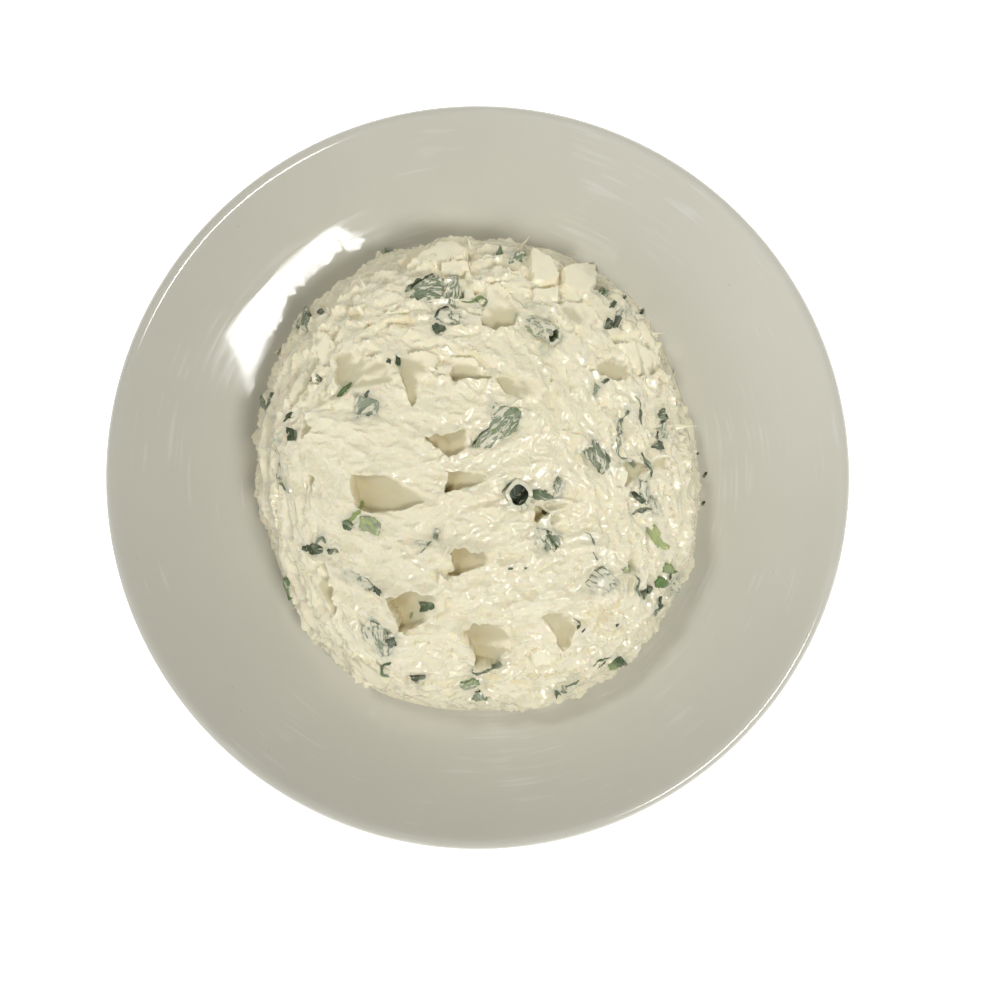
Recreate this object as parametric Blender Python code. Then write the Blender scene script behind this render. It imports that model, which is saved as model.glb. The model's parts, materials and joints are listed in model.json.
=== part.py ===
"""A mound of cream cheese with chopped spring onion, on its round white plate.

Metres, +Z up. The origin is the centre of the plate's foot, on the table.
+X runs to the right and +Y to the back of the mound as it is seen from above.
"""

import math
from collections import namedtuple

import bmesh
import bpy
import numpy as np
from mathutils import Matrix, Vector, noise
from mathutils.bvhtree import BVHTree

MM = 0.001

# Plate: a 20 cm coupe plate, turned
PLATE_RADIUS = 100 * MM
PLATE_HEIGHT = 26 * MM
PLATE_FLOOR = 6.5 * MM
WELL_RADIUS = 42 * MM
LIP_RADIUS = 2.0 * MM
WALL_RISE_POWER = 2.1
WALL_THICKNESS = 4.8 * MM
FOOT_OUTER_RADIUS = 52 * MM
FOOT_WIDTH = 4 * MM
FOOT_HEIGHT = 2.5 * MM
PLATE_SEGMENTS = 64

# Mound: a dome with steep sides, nearly as high as it is wide at the shoulder
MOUND_RADIUS = 64 * MM
MOUND_HEIGHT = 48 * MM
MOUND_FULLNESS = 2.35
MOUND_RINGS = 34
RESTING_GAP = 0.3 * MM
OUTLINE_WAVES = ((2, 2.4 * MM, 99), (4, 1.0 * MM, 56))

# Uneven surface: broad lumps left by the spatula, and torn ridges on them
LUMP_SIZE = 26 * MM
LUMP_HEIGHT = 1.6 * MM
RIDGE_LENGTH = 13 * MM
RIDGE_PITCH = 5.0 * MM
RIDGE_HEIGHT = 1.1 * MM

# The marks and the onion are placed in plan as they are seen from above, at the height of
# the plate's lip. What stands higher looks larger, so it is drawn in by the eye's distance.
EYE = Vector((6 * MM, -6 * MM, 450 * MM))
PLAN_HEIGHT = 24 * MM

LIP_WALL_SLOPE = 5.0
LIP_WIDTH = 1.3 * MM

# A knife or spoon mark: where it is, the way it runs from its deep end to where it fades
# out, its size, how deep the blade went in, and the lip it pushed up at the deep end.
# spread is the width at the far end against the deep end, and bank tips it sideways.
Mark = namedtuple("Mark", "x y heading length width depth lip spread bank")

MARKS = (
    Mark(-23, -3, -12, 26, 14, 6.0, 1.2, 0.6, -0.3),
    Mark(-2.5, -0.5, 18, 16, 10, 5.0, 2.2, 0.5, -0.3),
    Mark(-8, 9, -12, 14, 8, 4.0, 0.6, 0.9, -0.4),
    Mark(-2, -23.5, 12, 16, 10, 4.6, 2.4, 0.8, -0.3),
    Mark(-17, -36, -8, 16, 12, 5.0, 2.0, 0.8, 0.2),
    Mark(2, -45, 3, 15, 12, 4.6, 2.0, 1.0, 0.0),
    Mark(24, -42, -20, 15, 9, 4.6, 2.6, 0.4, 0.3),
    Mark(-41, -27, -86, 20, 7, 3.2, 0.7, 0.7, 0.5),
    Mark(-47, 13, -70, 10, 6, 3.0, 0.6, 0.4, 0.4),
    Mark(-46, -2.5, -80, 16, 5, 2.8, 0.6, 0.5, 0.4),
    Mark(-31, 28, 15, 19, 12, 2.6, 0.6, 1.0, -0.3),
    Mark(-17, 27, 68, 16, 9, 4.2, 1.0, 1.8, -0.5),
    Mark(-2, 29, 10, 14, 8, 3.6, 1.0, 0.9, -0.6),
    Mark(12, 24, -20, 16, 9, 3.4, 1.0, 0.6, -0.2),
    Mark(6, 46, 48, 13, 12, 4.2, 1.8, 0.9, 0.0),
    Mark(17, 55, 120, 12, 9, 3.4, 1.8, 0.5, 0.0),
    Mark(27, 53, 100, 10, 9, 3.2, 1.4, 0.8, 0.0),
    Mark(26, 45, 60, 11, 9, 3.6, 1.2, 0.9, 0.0),
    Mark(38, 30, 30, 11, 8, 3.6, 1.2, 0.8, -0.4),
    Mark(45, 31, 60, 9, 8, 3.4, 1.0, 0.9, -0.2),
    Mark(-42.5, 34, 80, 10, 6, 3.0, 0.8, 0.9, 0.0),
    Mark(-44, 22, 30, 9, 7, 2.6, 0.8, 0.8, 0.0),
    Mark(-10, 60, 8, 18, 6, 3.0, 1.0, 0.5, 0.2),
    Mark(43, 0, 50, 9, 8, 3.6, 0.8, 0.9, 0.0),
    Mark(50, 4, 20, 8, 6, 2.8, 0.7, 0.8, 0.0),
    Mark(55, -9, -88, 15, 5, 2.6, 0.6, 0.9, 0.3),
    Mark(40, -31, -100, 12, 6, 3.0, 0.8, 0.6, 0.2),
    Mark(22, -13, 25, 9, 7, 3.0, 0.7, 0.8, 0.0),
    Mark(14, -53, 8, 13, 8, 2.6, 0.8, 0.8, 0.1),
    Mark(-33, -50, -35, 17, 7, 2.8, 0.8, 0.8, 0.2),
)

# Pulled peaks: where the spatula came away, and the way the tip leans
Peak = namedtuple("Peak", "x y lean height radius")

PEAKS = (
    Peak(16, 58, 150, 3.2, 2.4),
    Peak(51, 40, 40, 2.6, 2.0),
    Peak(58, 14, 10, 3.0, 2.0),
    Peak(-54, 35, 160, 2.6, 2.0),
    Peak(-9, -1.5, -30, 2.2, 2.2),
    Peak(21, -47.5, -60, 2.6, 2.4),
    Peak(33, -56, -50, 2.2, 2.0),
)

# Chopped spring onion: rings and tubes from the stalk, and flakes of the flat leaf.
# length runs along heading; on a ring or tube, width is its diameter.
Onion = namedtuple("Onion", "kind x y heading length width tilt")

ONIONS = (
    Onion("flake", -14, 52, 18, 9, 7, 0),
    Onion("flake", -7.5, 52.5, 60, 7, 5.5, 12),
    Onion("flake", -9, 43.5, 66, 8, 3.6, 20),
    Onion("tube", 18, 42, -42, 11, 5.4, 20),
    Onion("flake", -30, 18, 80, 6.5, 6.0, 10),
    Onion("flake", 3.5, 16, 50, 9, 6.2, 8),
    Onion("flake", 7, 12, 48, 8, 5.4, -10),
    Onion("flake", 33.5, 5.5, -42, 10, 6.5, 0),
    Onion("ring", 10.5, -4.5, 0, 3.4, 7.2, 0),
    Onion("tube", 17.5, -4.2, 0, 5.5, 4.2, 10),
    Onion("flake", 21, -1.5, 80, 6, 2.6, 30),
    Onion("tube", 19, -16, 85, 8, 6.8, 50),
    Onion("flake", 33.5, -28, 15, 10.5, 7.5, 0),
    Onion("flake", -33.5, -27.3, -18, 13, 2.6, 0),
    Onion("ring", -44, -19, 0, 2.6, 4.6, 15),
    Onion("flake", -33, -11, 50, 9, 2.8, 30),
    Onion("flake", -29, -13, -10, 7, 4.5, 0),
    Onion("flake", -13, -16.5, 25, 7, 2.8, 20),
    Onion("flake", -14, -35, 10, 5, 3.4, 0),
    Onion("tube", -26.5, -42, -50, 8, 6.5, 10),
    Onion("flake", -24.5, -51.5, -60, 4.5, 3, 30),
    Onion("flake", 2.5, -52, 15, 8, 2.0, 40),
    Onion("flake", -16, -54, -8, 5, 2.4, 20),
    Onion("flake", -1, -57, -10, 6, 3.6, 10),
    Onion("ring", 0.5, -60, 0, 2.8, 5.0, -20),
    Onion("tube", 37.5, -49, -30, 5.5, 5.6, 30),
    Onion("flake", 24, -56.5, 30, 6.5, 2.4, 30),
    Onion("flake", 49.5, -16.5, -60, 8, 5.5, 0),
    Onion("ring", 52, -22, 0, 2.6, 4.4, 20),
    Onion("tube", 50.3, -28, 20, 6, 4.4, 0),
    Onion("tube", 45, -30.5, 30, 5.5, 4.4, 0),
    Onion("tube", 48.5, -34, 65, 6, 3.8, 0),
    Onion("tube", 50, 10, 88, 9, 4.0, 0),
    Onion("flake", 38.5, 11, 80, 12, 2.4, 40),
    Onion("flake", 44, -5, 20, 6, 5, 10),
    Onion("flake", 47.5, -7.5, 60, 6, 4, 10),
    Onion("flake", 33, 23, 70, 3.5, 3, 0),
    Onion("ring", 35, 50, 0, 2.4, 4.6, 20),
    Onion("flake", 39, 44, -50, 7, 5.5, 10),
    Onion("flake", -47, 42.5, 60, 5, 4, 0),
    Onion("ring", -24.5, 61, 0, 2.6, 4.6, 30),
    Onion("tube", -51.5, -29, 70, 7, 4.6, 0),
    Onion("flake", -58, 20.5, 85, 7, 3.2, 0),
    Onion("flake", -52.5, 2, 84, 14, 2.2, 30),
)
ONION_THICKNESS = 1.8 * MM
ONION_PROUD = 0.9 * MM
TUBE_SIDES = 8
TUBE_WALL_SHARE = 0.26
RING_PROUD_SHARE = 0.5


def clear_scene():
    for thing in list(bpy.data.objects):
        bpy.data.objects.remove(thing, do_unlink=True)


def material(name, colour, roughness, metallic=0.0):
    made = bpy.data.materials.new(name)
    made.use_nodes = True
    shader = made.node_tree.nodes["Principled BSDF"]
    shader.inputs["Base Color"].default_value = (*colour, 1.0)
    shader.inputs["Roughness"].default_value = roughness
    shader.inputs["Metallic"].default_value = metallic
    return made


def object_from(name, shape, finish):
    mesh = bpy.data.meshes.new(name)
    shape.to_mesh(mesh)
    shape.free()
    made = bpy.data.objects.new(name, mesh)
    made.data.materials.append(finish)
    bpy.context.scene.collection.objects.link(made)
    return made


def plate_top(radius):
    """Height of the plate's upper face at a distance from its axis."""
    inner_edge = PLATE_RADIUS - 2 * LIP_RADIUS
    rise = PLATE_HEIGHT - LIP_RADIUS - PLATE_FLOOR
    share = np.clip((radius - WELL_RADIUS) / (inner_edge - WELL_RADIUS), 0, None)
    return PLATE_FLOOR + rise * share**WALL_RISE_POWER


def plate_section():
    """Half section of the plate, from the middle of its face over the lip to its underside."""
    inner_edge = PLATE_RADIUS - 2 * LIP_RADIUS
    upper = [(0.0, PLATE_FLOOR)]
    for i in range(9):
        radius = WELL_RADIUS + (inner_edge - WELL_RADIUS) * i / 8
        upper.append((radius, float(plate_top(radius))))
    lip_centre = (PLATE_RADIUS - LIP_RADIUS, PLATE_HEIGHT - LIP_RADIUS)
    lip = []
    for angle in (145, 118, 90, 60, 30, 0, -35):
        turn = math.radians(angle)
        across = lip_centre[0] + LIP_RADIUS * math.cos(turn)
        lip.append((across, lip_centre[1] + LIP_RADIUS * math.sin(turn)))
    lower = []
    for i in range(5):
        radius = PLATE_RADIUS - 3 * MM - (PLATE_RADIUS - 3 * MM - FOOT_OUTER_RADIUS - 2 * MM) * i / 4
        lower.append((radius, max(float(plate_top(radius)) - WALL_THICKNESS, FOOT_HEIGHT)))
    foot_inner = FOOT_OUTER_RADIUS - FOOT_WIDTH
    foot = [
        (FOOT_OUTER_RADIUS, 0.0),
        (foot_inner, 0.0),
        (foot_inner - 1.5 * MM, FOOT_HEIGHT),
        (0.0, FOOT_HEIGHT),
    ]
    return upper + lip + lower + foot


def make_plate():
    shape = bmesh.new()
    points = [shape.verts.new((radius, 0, height)) for radius, height in plate_section()]
    edges = [shape.edges.new(pair) for pair in zip(points, points[1:])]
    bmesh.ops.spin(
        shape,
        geom=points + edges,
        cent=(0, 0, 0),
        axis=(0, 0, 1),
        angle=2 * math.pi,
        steps=PLATE_SEGMENTS,
        use_merge=True,
        use_duplicate=False,
    )
    bmesh.ops.remove_doubles(shape, verts=shape.verts, dist=0.01 * MM)
    bmesh.ops.recalc_face_normals(shape, faces=shape.faces)
    finish = material("glazed_stoneware", (0.60, 0.59, 0.53), 0.12)
    plate = object_from("plate", shape, finish)
    plate.data.shade_smooth()
    plate.data.set_sharp_from_angle(angle=math.radians(40))
    return plate


def outline_radius(turn):
    """The mound's radius at its foot, in a direction: a circle pulled a little out of round."""
    waves = [height * np.cos(count * (turn - math.radians(peak))) for count, height, peak in OUTLINE_WAVES]
    return MOUND_RADIUS + sum(waves)


def foot_height(turn):
    """Height at which the mound's edge rests on the plate, in a direction."""
    return plate_top(outline_radius(turn)) + RESTING_GAP


def hexagon_sheet(rings):
    """A hexagon of equal triangles, of radius 1 from its centre to each corner."""
    shape = bmesh.new()
    bmesh.ops.create_circle(shape, cap_ends=True, cap_tris=True, segments=6, radius=1.0)
    bmesh.ops.subdivide_edges(shape, edges=shape.edges, cuts=rings - 1, use_grid_fill=True)
    return shape


def hexagon_share(x, y):
    """How far out a point of the hexagon lies, from 0 at its centre to 1 on any side."""
    half = math.sqrt(3) / 2
    across = np.maximum.reduce([abs(x), abs(x / 2 + y * half), abs(x / 2 - y * half)])
    return across / half


def dome_points(sheet):
    """The smooth dome's points for the flat sheet's points, and their outward directions."""
    x, y = sheet[:, 0], sheet[:, 1]
    turn = np.arctan2(y, x)
    slant = np.clip(hexagon_share(x, y), 0, 1) * math.pi / 2
    across, up = np.sin(slant), np.cos(slant)
    radius, foot = outline_radius(turn), foot_height(turn)
    height = PLATE_FLOOR + MOUND_HEIGHT - foot
    power = MOUND_FULLNESS
    reach = ((across / radius) ** power + (up / height) ** power) ** (-1 / power)
    points = np.stack(
        [reach * across * np.cos(turn), reach * across * np.sin(turn), foot + reach * up], 1
    )
    flat = (reach * across) ** (power - 1) / radius**power
    steep = (reach * up) ** (power - 1) / height**power
    normals = np.stack([flat * np.cos(turn), flat * np.sin(turn), steep], 1)
    return points, normals / np.linalg.norm(normals, axis=1)[:, None]


def dome_height(x, y):
    """Height of the smooth dome over a point of the plan."""
    turn, radius = math.atan2(y, x), math.hypot(x, y)
    foot = float(foot_height(turn))
    share = min(radius / float(outline_radius(turn)), 1.0)
    rise = (1 - share**MOUND_FULLNESS) ** (1 / MOUND_FULLNESS)
    return foot + (PLATE_FLOOR + MOUND_HEIGHT - foot) * rise


def seen_at(x, y):
    """The dome's point that is seen at a place of the plan, in millimetres, and its normal."""
    target = Vector((x * MM, y * MM, PLAN_HEIGHT))
    point = target
    for _ in range(30):
        height = dome_height(point.x, point.y)
        share = (EYE.z - height) / (EYE.z - PLAN_HEIGHT)
        point = EYE + (target - EYE) * share
    step = 0.5 * MM
    slope_x = (dome_height(point.x + step, point.y) - dome_height(point.x - step, point.y)) / (2 * step)
    slope_y = (dome_height(point.x, point.y + step) - dome_height(point.x, point.y - step)) / (2 * step)
    return point, Vector((-slope_x, -slope_y, 1)).normalized()


def local_frame(x, y, heading):
    """Place, direction along, direction across and normal of something lying on the dome."""
    place, normal = seen_at(x, y)
    turn = math.radians(heading)
    along = Vector((math.cos(turn), math.sin(turn), 0))
    along = (along - normal * along.dot(normal)).normalized()
    return place, along, normal.cross(along), normal


def ridge_field(points, turn):
    """Torn ridges: long along the spreading direction, which circles the mound low down."""
    found = np.zeros(len(points))
    for i, (x, y, z) in enumerate(points):
        radius = math.hypot(x, y)
        low = min(max((radius / MOUND_RADIUS - 0.55) / 0.3, 0), 1)
        around = turn[i] * MOUND_RADIUS
        ringed = noise.noise((around / RIDGE_LENGTH, z / RIDGE_PITCH, 3.0))
        across = noise.noise((x / RIDGE_LENGTH, y / RIDGE_PITCH, 7.0))
        found[i] = low * ringed + (1 - low) * across
    return found


def lump_field(points):
    return np.array([noise.noise(Vector(p) / LUMP_SIZE + Vector((4.2, 1.7, 0.3))) for p in points])


def cut_mark(mark, points, normals, raised):
    """Lowers the surface to the blade's path where that is deeper, and raises its lip."""
    place, along, across, normal = (np.array(v) for v in local_frame(mark.x, mark.y, mark.heading))
    length, width, depth = mark.length * MM, mark.width * MM, mark.depth * MM
    offset = points - place
    u, v, w = offset @ along, offset @ across, offset @ normal
    share = (u + length / 2) / length
    half = width / 2 * (1 + (mark.spread - 1) * np.clip(share, 0, 1))
    side = v / np.maximum(half, MM)
    blade = -depth * np.clip(1 - share, 0, 1) ** 0.8
    blade = blade + np.maximum(-share, 0) * length * LIP_WALL_SLOPE
    blade = blade + np.maximum(share - 1, 0) * length * 0.6
    blade = blade + depth * np.abs(side) ** 2.6 + mark.bank * depth * side * 0.5
    near = (np.abs(u) < length) & (np.abs(side) < 2.2) & (normals @ normal > 0.2)
    cut = np.where(near, np.minimum(raised, blade - w), raised)
    behind = u + length / 2 + 0.8 * MM
    ridge = np.exp(-((behind / LIP_WIDTH) ** 2)) * np.clip(1 - np.abs(side) ** 2, 0, 1)
    return np.where(near, cut + mark.lip * MM * ridge, cut)


def pull_peak(peak, points, raised):
    """Raises a pointed tip, and leans it."""
    place, lean, _, _ = (np.array(v) for v in local_frame(peak.x, peak.y, peak.lean))
    far = np.linalg.norm(points - place, axis=1) / (peak.radius * MM)
    share = np.clip(1 - far, 0, 1) ** 1.5
    return raised + share * peak.height * MM, np.outer(share * peak.height * MM * 0.6, lean)


def sculpt(points, normals):
    """Where each point of the smooth dome ends up."""
    turn = np.arctan2(points[:, 1], points[:, 0])
    raised = LUMP_HEIGHT * lump_field(points) + RIDGE_HEIGHT * ridge_field(points, turn)
    for mark in MARKS:
        raised = cut_mark(mark, points, normals, raised)
    leaned = np.zeros_like(points)
    for peak in PEAKS:
        raised, shift = pull_peak(peak, points, raised)
        leaned += shift
    foot = foot_height(turn)
    hold = np.clip((points[:, 2] - foot) / (6 * MM), 0, 1)
    moved = points + normals * (raised * hold)[:, None] + leaned * hold[:, None]
    moved[:, 2] = np.maximum(moved[:, 2], foot)
    return moved


def close_underside(shape):
    """Closes the mound below with rings that follow the plate's face, a gap above it."""
    rim = [edge for edge in shape.edges if edge.is_boundary]
    for radius in (53 * MM, 45 * MM):
        made = bmesh.ops.extrude_edge_only(shape, edges=rim)["geom"]
        rim = [item for item in made if isinstance(item, bmesh.types.BMEdge)]
        for point in (item for item in made if isinstance(item, bmesh.types.BMVert)):
            point.co.xy = point.co.xy.normalized() * radius
            point.co.z = float(plate_top(radius)) + RESTING_GAP
    bmesh.ops.contextual_create(shape, geom=rim)


def make_mound(finish):
    shape = hexagon_sheet(MOUND_RINGS)
    sheet = np.array([point.co for point in shape.verts])
    points, normals = dome_points(sheet)
    for point, place in zip(shape.verts, sculpt(points, normals)):
        point.co = place
    close_underside(shape)
    bmesh.ops.triangulate(shape, faces=shape.faces)
    bmesh.ops.recalc_face_normals(shape, faces=shape.faces)
    return object_from("cheese", shape, finish)


def tube_shape(length, width):
    """A round stalk piece along +X, hollow from its far end inwards."""
    shape = bmesh.new()
    turned = Matrix.Rotation(math.pi / 2, 4, "Y")
    bmesh.ops.create_cone(
        shape,
        cap_ends=True,
        segments=TUBE_SIDES,
        radius1=width / 2,
        radius2=width / 2,
        depth=length,
        matrix=turned,
    )
    end = max(shape.faces, key=lambda face: face.calc_center_median().x)
    bmesh.ops.inset_region(shape, faces=[end], thickness=width * TUBE_WALL_SHARE)
    made = bmesh.ops.extrude_discrete_faces(shape, faces=[end])["faces"]
    bmesh.ops.translate(shape, verts=made[0].verts, vec=(-length * 0.3, 0, 0))
    return shape


def flake_shape(length, width):
    """A piece of flat leaf along +X, bent a little along its middle."""
    shape = bmesh.new()
    bmesh.ops.create_grid(shape, x_segments=2, y_segments=1, size=0.5)
    for point in shape.verts:
        point.co.z = -0.12 * width if abs(point.co.x) > 0.25 else 0.0
        point.co.x *= length
        point.co.y *= width
    bmesh.ops.triangulate(shape, faces=shape.faces)
    made = bmesh.ops.extrude_face_region(shape, geom=shape.faces[:])["geom"]
    lifted = [item for item in made if isinstance(item, bmesh.types.BMVert)]
    bmesh.ops.translate(shape, verts=lifted, vec=(0, 0, -ONION_THICKNESS))
    bmesh.ops.recalc_face_normals(shape, faces=shape.faces)
    return shape


def surface_hit(surface, onion):
    """Where the eye's line to this place meets the worked surface, and the dome's frame there."""
    place, along, across, normal = local_frame(onion.x, onion.y, onion.heading)
    hit = surface.ray_cast(EYE, (place - EYE).normalized())[0]
    return (hit or place), along, across, normal


def make_onion(number, onion, surface, finish):
    place, along, across, normal = surface_hit(surface, onion)
    length, width = onion.length * MM, onion.width * MM
    axes = Matrix((along, across, normal)).transposed().to_4x4()
    if onion.kind == "flake":
        shape = flake_shape(length, width)
        lift = ONION_PROUD
        turn = Matrix.Rotation(math.radians(onion.tilt), 4, "X")
    elif onion.kind == "ring":
        shape = tube_shape(length, width)
        lift = -length * (0.5 - RING_PROUD_SHARE)
        turn = Matrix.Rotation(math.radians(onion.tilt - 90), 4, "Y")
    else:
        shape = tube_shape(length, width)
        lift = -width * 0.2
        turn = Matrix.Rotation(math.radians(-onion.tilt), 4, "Y")
    bmesh.ops.triangulate(shape, faces=shape.faces)
    bmesh.ops.transform(shape, matrix=axes @ turn, verts=shape.verts)
    bmesh.ops.translate(shape, verts=shape.verts, vec=place + normal * lift)
    return object_from(f"onion_{number:02d}", shape, finish)


def surface_of(thing):
    shape = bmesh.new()
    shape.from_mesh(thing.data)
    tree = BVHTree.FromBMesh(shape)
    shape.free()
    return tree


def fuse(body, pieces):
    """Joins the pieces to the body in one union, and removes them."""
    group = bpy.data.collections.new("onion_pieces")
    bpy.context.scene.collection.children.link(group)
    for piece in pieces:
        group.objects.link(piece)
    union = body.modifiers.new("fuse", "BOOLEAN")
    union.operation = "UNION"
    union.operand_type = "COLLECTION"
    union.solver = "MANIFOLD"
    union.collection = group
    bpy.context.view_layer.objects.active = body
    body.select_set(True)
    bpy.ops.object.modifier_apply(modifier=union.name)
    for piece in pieces:
        bpy.data.objects.remove(piece, do_unlink=True)
    bpy.data.collections.remove(group)


def largest_shell(thing):
    """Drops loose scraps and sealed hollows, and keeps the largest closed shell."""
    shape = bmesh.new()
    shape.from_mesh(thing.data)
    unseen = set(shape.verts)
    shells = []
    while unseen:
        start = unseen.pop()
        shell, front = [start], [start]
        while front:
            for edge in front.pop().link_edges:
                for point in edge.verts:
                    if point in unseen:
                        unseen.discard(point)
                        shell.append(point)
                        front.append(point)
        shells.append(shell)
    shells.sort(key=len)
    for shell in shells[:-1]:
        bmesh.ops.delete(shape, geom=shell, context="VERTS")
    shape.to_mesh(thing.data)
    shape.free()


def make_cheese():
    curd = material("cream_cheese", (0.82, 0.77, 0.56), 0.45)
    green = material("spring_onion", (0.10, 0.16, 0.09), 0.4)
    cheese = make_mound(curd)
    cheese.data.materials.append(green)
    surface = surface_of(cheese)
    pieces = [make_onion(i, onion, surface, green) for i, onion in enumerate(ONIONS)]
    fuse(cheese, pieces)
    largest_shell(cheese)
    return cheese


def main():
    clear_scene()
    make_plate()
    make_cheese()


main()
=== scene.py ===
"""The looks of a mound of cream cheese with spring onion on its plate, seen from above.

Metres, +Z up, +X to the right and +Y to the back of the mound as the camera sees it.
"""

import json
import math
from collections import namedtuple
from random import Random

import bmesh
import bpy
import numpy as np
from bpy.props import FloatProperty, FloatVectorProperty, IntProperty, PointerProperty
from mathutils import Matrix, Vector, noise
from mathutils.bvhtree import BVHTree
from mathutils.kdtree import KDTree

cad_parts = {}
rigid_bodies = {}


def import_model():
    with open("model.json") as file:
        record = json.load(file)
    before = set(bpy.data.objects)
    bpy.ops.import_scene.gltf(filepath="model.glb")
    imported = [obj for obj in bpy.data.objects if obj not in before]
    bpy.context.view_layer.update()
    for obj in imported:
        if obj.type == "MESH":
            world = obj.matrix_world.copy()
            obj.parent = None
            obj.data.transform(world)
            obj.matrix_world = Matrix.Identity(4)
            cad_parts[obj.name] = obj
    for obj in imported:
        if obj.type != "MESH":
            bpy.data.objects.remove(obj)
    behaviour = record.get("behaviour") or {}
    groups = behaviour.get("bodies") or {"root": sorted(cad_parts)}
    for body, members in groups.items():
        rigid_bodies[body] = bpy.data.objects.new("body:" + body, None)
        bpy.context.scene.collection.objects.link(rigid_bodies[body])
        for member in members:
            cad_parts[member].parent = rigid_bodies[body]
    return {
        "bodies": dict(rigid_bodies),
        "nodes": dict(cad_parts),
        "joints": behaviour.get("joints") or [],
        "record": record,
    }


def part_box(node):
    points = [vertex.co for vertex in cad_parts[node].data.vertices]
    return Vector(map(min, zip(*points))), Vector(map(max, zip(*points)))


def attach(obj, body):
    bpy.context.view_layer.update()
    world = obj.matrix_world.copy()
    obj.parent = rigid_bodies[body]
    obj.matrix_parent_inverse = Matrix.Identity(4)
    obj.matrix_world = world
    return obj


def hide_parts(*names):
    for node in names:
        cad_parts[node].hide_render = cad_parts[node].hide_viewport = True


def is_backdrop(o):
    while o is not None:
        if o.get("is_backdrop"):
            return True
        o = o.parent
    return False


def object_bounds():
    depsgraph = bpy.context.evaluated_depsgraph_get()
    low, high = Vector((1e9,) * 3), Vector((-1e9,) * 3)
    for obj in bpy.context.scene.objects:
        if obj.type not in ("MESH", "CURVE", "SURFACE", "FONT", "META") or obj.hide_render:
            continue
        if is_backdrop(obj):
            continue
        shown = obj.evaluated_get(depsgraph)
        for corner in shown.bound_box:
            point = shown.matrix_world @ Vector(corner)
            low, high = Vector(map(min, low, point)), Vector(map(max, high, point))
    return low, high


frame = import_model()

bl_info = {
    "name": "Cream cheese with spring onion",
    "version": (1, 0, 0),
    "blender": (4, 5, 0),
    "location": "3D View > Sidebar > Cream cheese",
    "description": "A mound of cream cheese with spring onion on a glazed coupe plate",
    "category": "Mesh",
}

MM = 0.001
CAD_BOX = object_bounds()
PLATE_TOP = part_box("plate")[1]

PLATE_RADIUS = PLATE_TOP.x
PLATE_HEIGHT = PLATE_TOP.z
FOOT_OUTER_RADIUS = 52 * MM
FOOT_WIDTH = 4 * MM
FOOT_HEIGHT = 2.5 * MM
WALL_THICKNESS = 4.8 * MM
WALL_RISE_POWER = 2.1

# Where the rounded lip starts from the plate's face, as shares of the lip's radius in from the
# rim and down from the top, and the arc it turns through in degrees
LIP_WIDTH = 1.52
LIP_DROP = 0.14
LIP_ARC = (118, -50)

# How the mound's outline differs from a circle: waves round it, their height and one peak
OUTLINE_WAVES = ((2, 2.4 * MM, 99), (4, 1.0 * MM, 56), (1, 0.6 * MM, 96), (6, 0.3 * MM, -3))

# Places are in plan, in millimetres from the plate's centre, as they are seen from the eye at
# the height of the plate's lip.
EYE = Vector((6 * MM, -6 * MM, 450 * MM))
PLAN_HEIGHT = 24 * MM

# Grain of the worked surface at a place: the way the spatula spread the cheese, in degrees, and
# how rough it was left
Grain = namedtuple("Grain", "x y heading rough")

GRAINS = (
    Grain(14, 39, -62, 1.0),
    Grain(22, 27, -65, 0.9),
    Grain(31, 20, -62, 0.9),
    Grain(44, 18, -75, 1.1),
    Grain(33, 5, -60, 0.8),
    Grain(46, -12, -80, 1.1),
    Grain(6, -11, 14, 0.8),
    Grain(-3, 13, 4, 0.5),
    Grain(11, 9, 38, 0.7),
    Grain(22, -22, 18, 0.8),
    Grain(6, -33, 10, 1.1),
    Grain(24, -34, 8, 0.9),
    Grain(-37, 10, -4, 0.55),
    Grain(-21, 10, -6, 0.5),
    Grain(-26, -13, -14, 0.6),
    Grain(-12, -15, 4, 0.6),
    Grain(-46, -1, -82, 0.8),
    Grain(-13, 22, -25, 0.7),
    Grain(-26, -23, -12, 0.7),
    Grain(-13, -30, -6, 0.9),
    Grain(-34, -38, -48, 1.0),
    Grain(-13, -47, 0, 1.0),
    Grain(-34, 40, 22, 1.2),
    Grain(-21, 45, 5, 1.2),
    Grain(-10, 39, 0, 1.0),
    Grain(-48, 29, 62, 1.2),
    Grain(-2, 57, 2, 1.3),
    Grain(17, 54, -20, 1.1),
    Grain(38, 38, -50, 1.1),
    Grain(34, -46, 35, 1.2),
)
GRAIN_REACH = 10.0

# Where the top goes over into the side: how much of the dome's normal points up
SIDE = (0.62, 0.38)
SIDE_ROUGHNESS = 1.3

# How the spatula worked the surface, coarse to fine: how many touches, the length, width and
# depth of their dips in millimetres, less than 0 for a lump, and how much one side of a dip
# stands over the other
Touch = namedtuple("Touch", "count length width depth tilt")

TOUCHES = (
    Touch(280, 18, 9.0, 1.4, 0.7),
    Touch(700, 12, 5.6, 1.3, 0.7),
    Touch(600, 8.5, 4.6, -0.9, 0.5),
    Touch(1600, 7.5, 3.4, 1.3, 0.8),
    Touch(900, 4.6, 2.6, -0.35, 0.3),
    Touch(2400, 4.6, 2.0, 0.8, 0.9),
)

# How the touches differ: their turn from the grain in radians, their size, width and depth as
# shares of their kind's, and the waves of their ragged edge with each one's share of its radius
TOUCH_TURN = 0.3
TOUCH_SIZES = (0.6, 1.4)
TOUCH_WIDTHS = (0.8, 1.25)
TOUCH_DEPTHS = (0.4, 1.3)
TOUCH_WAVES = ((2, 0.12), (5, 0.08), (11, 0.05))
TOUCH_SOFT_EDGE = 0.86

# The bowl of a dip: how much it rises across and along, and how deep its middle lies, as shares
# of its depth
BOWL_ACROSS, BOWL_ALONG, BOWL_MIDDLE = 0.8, 0.3, 0.45

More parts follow.
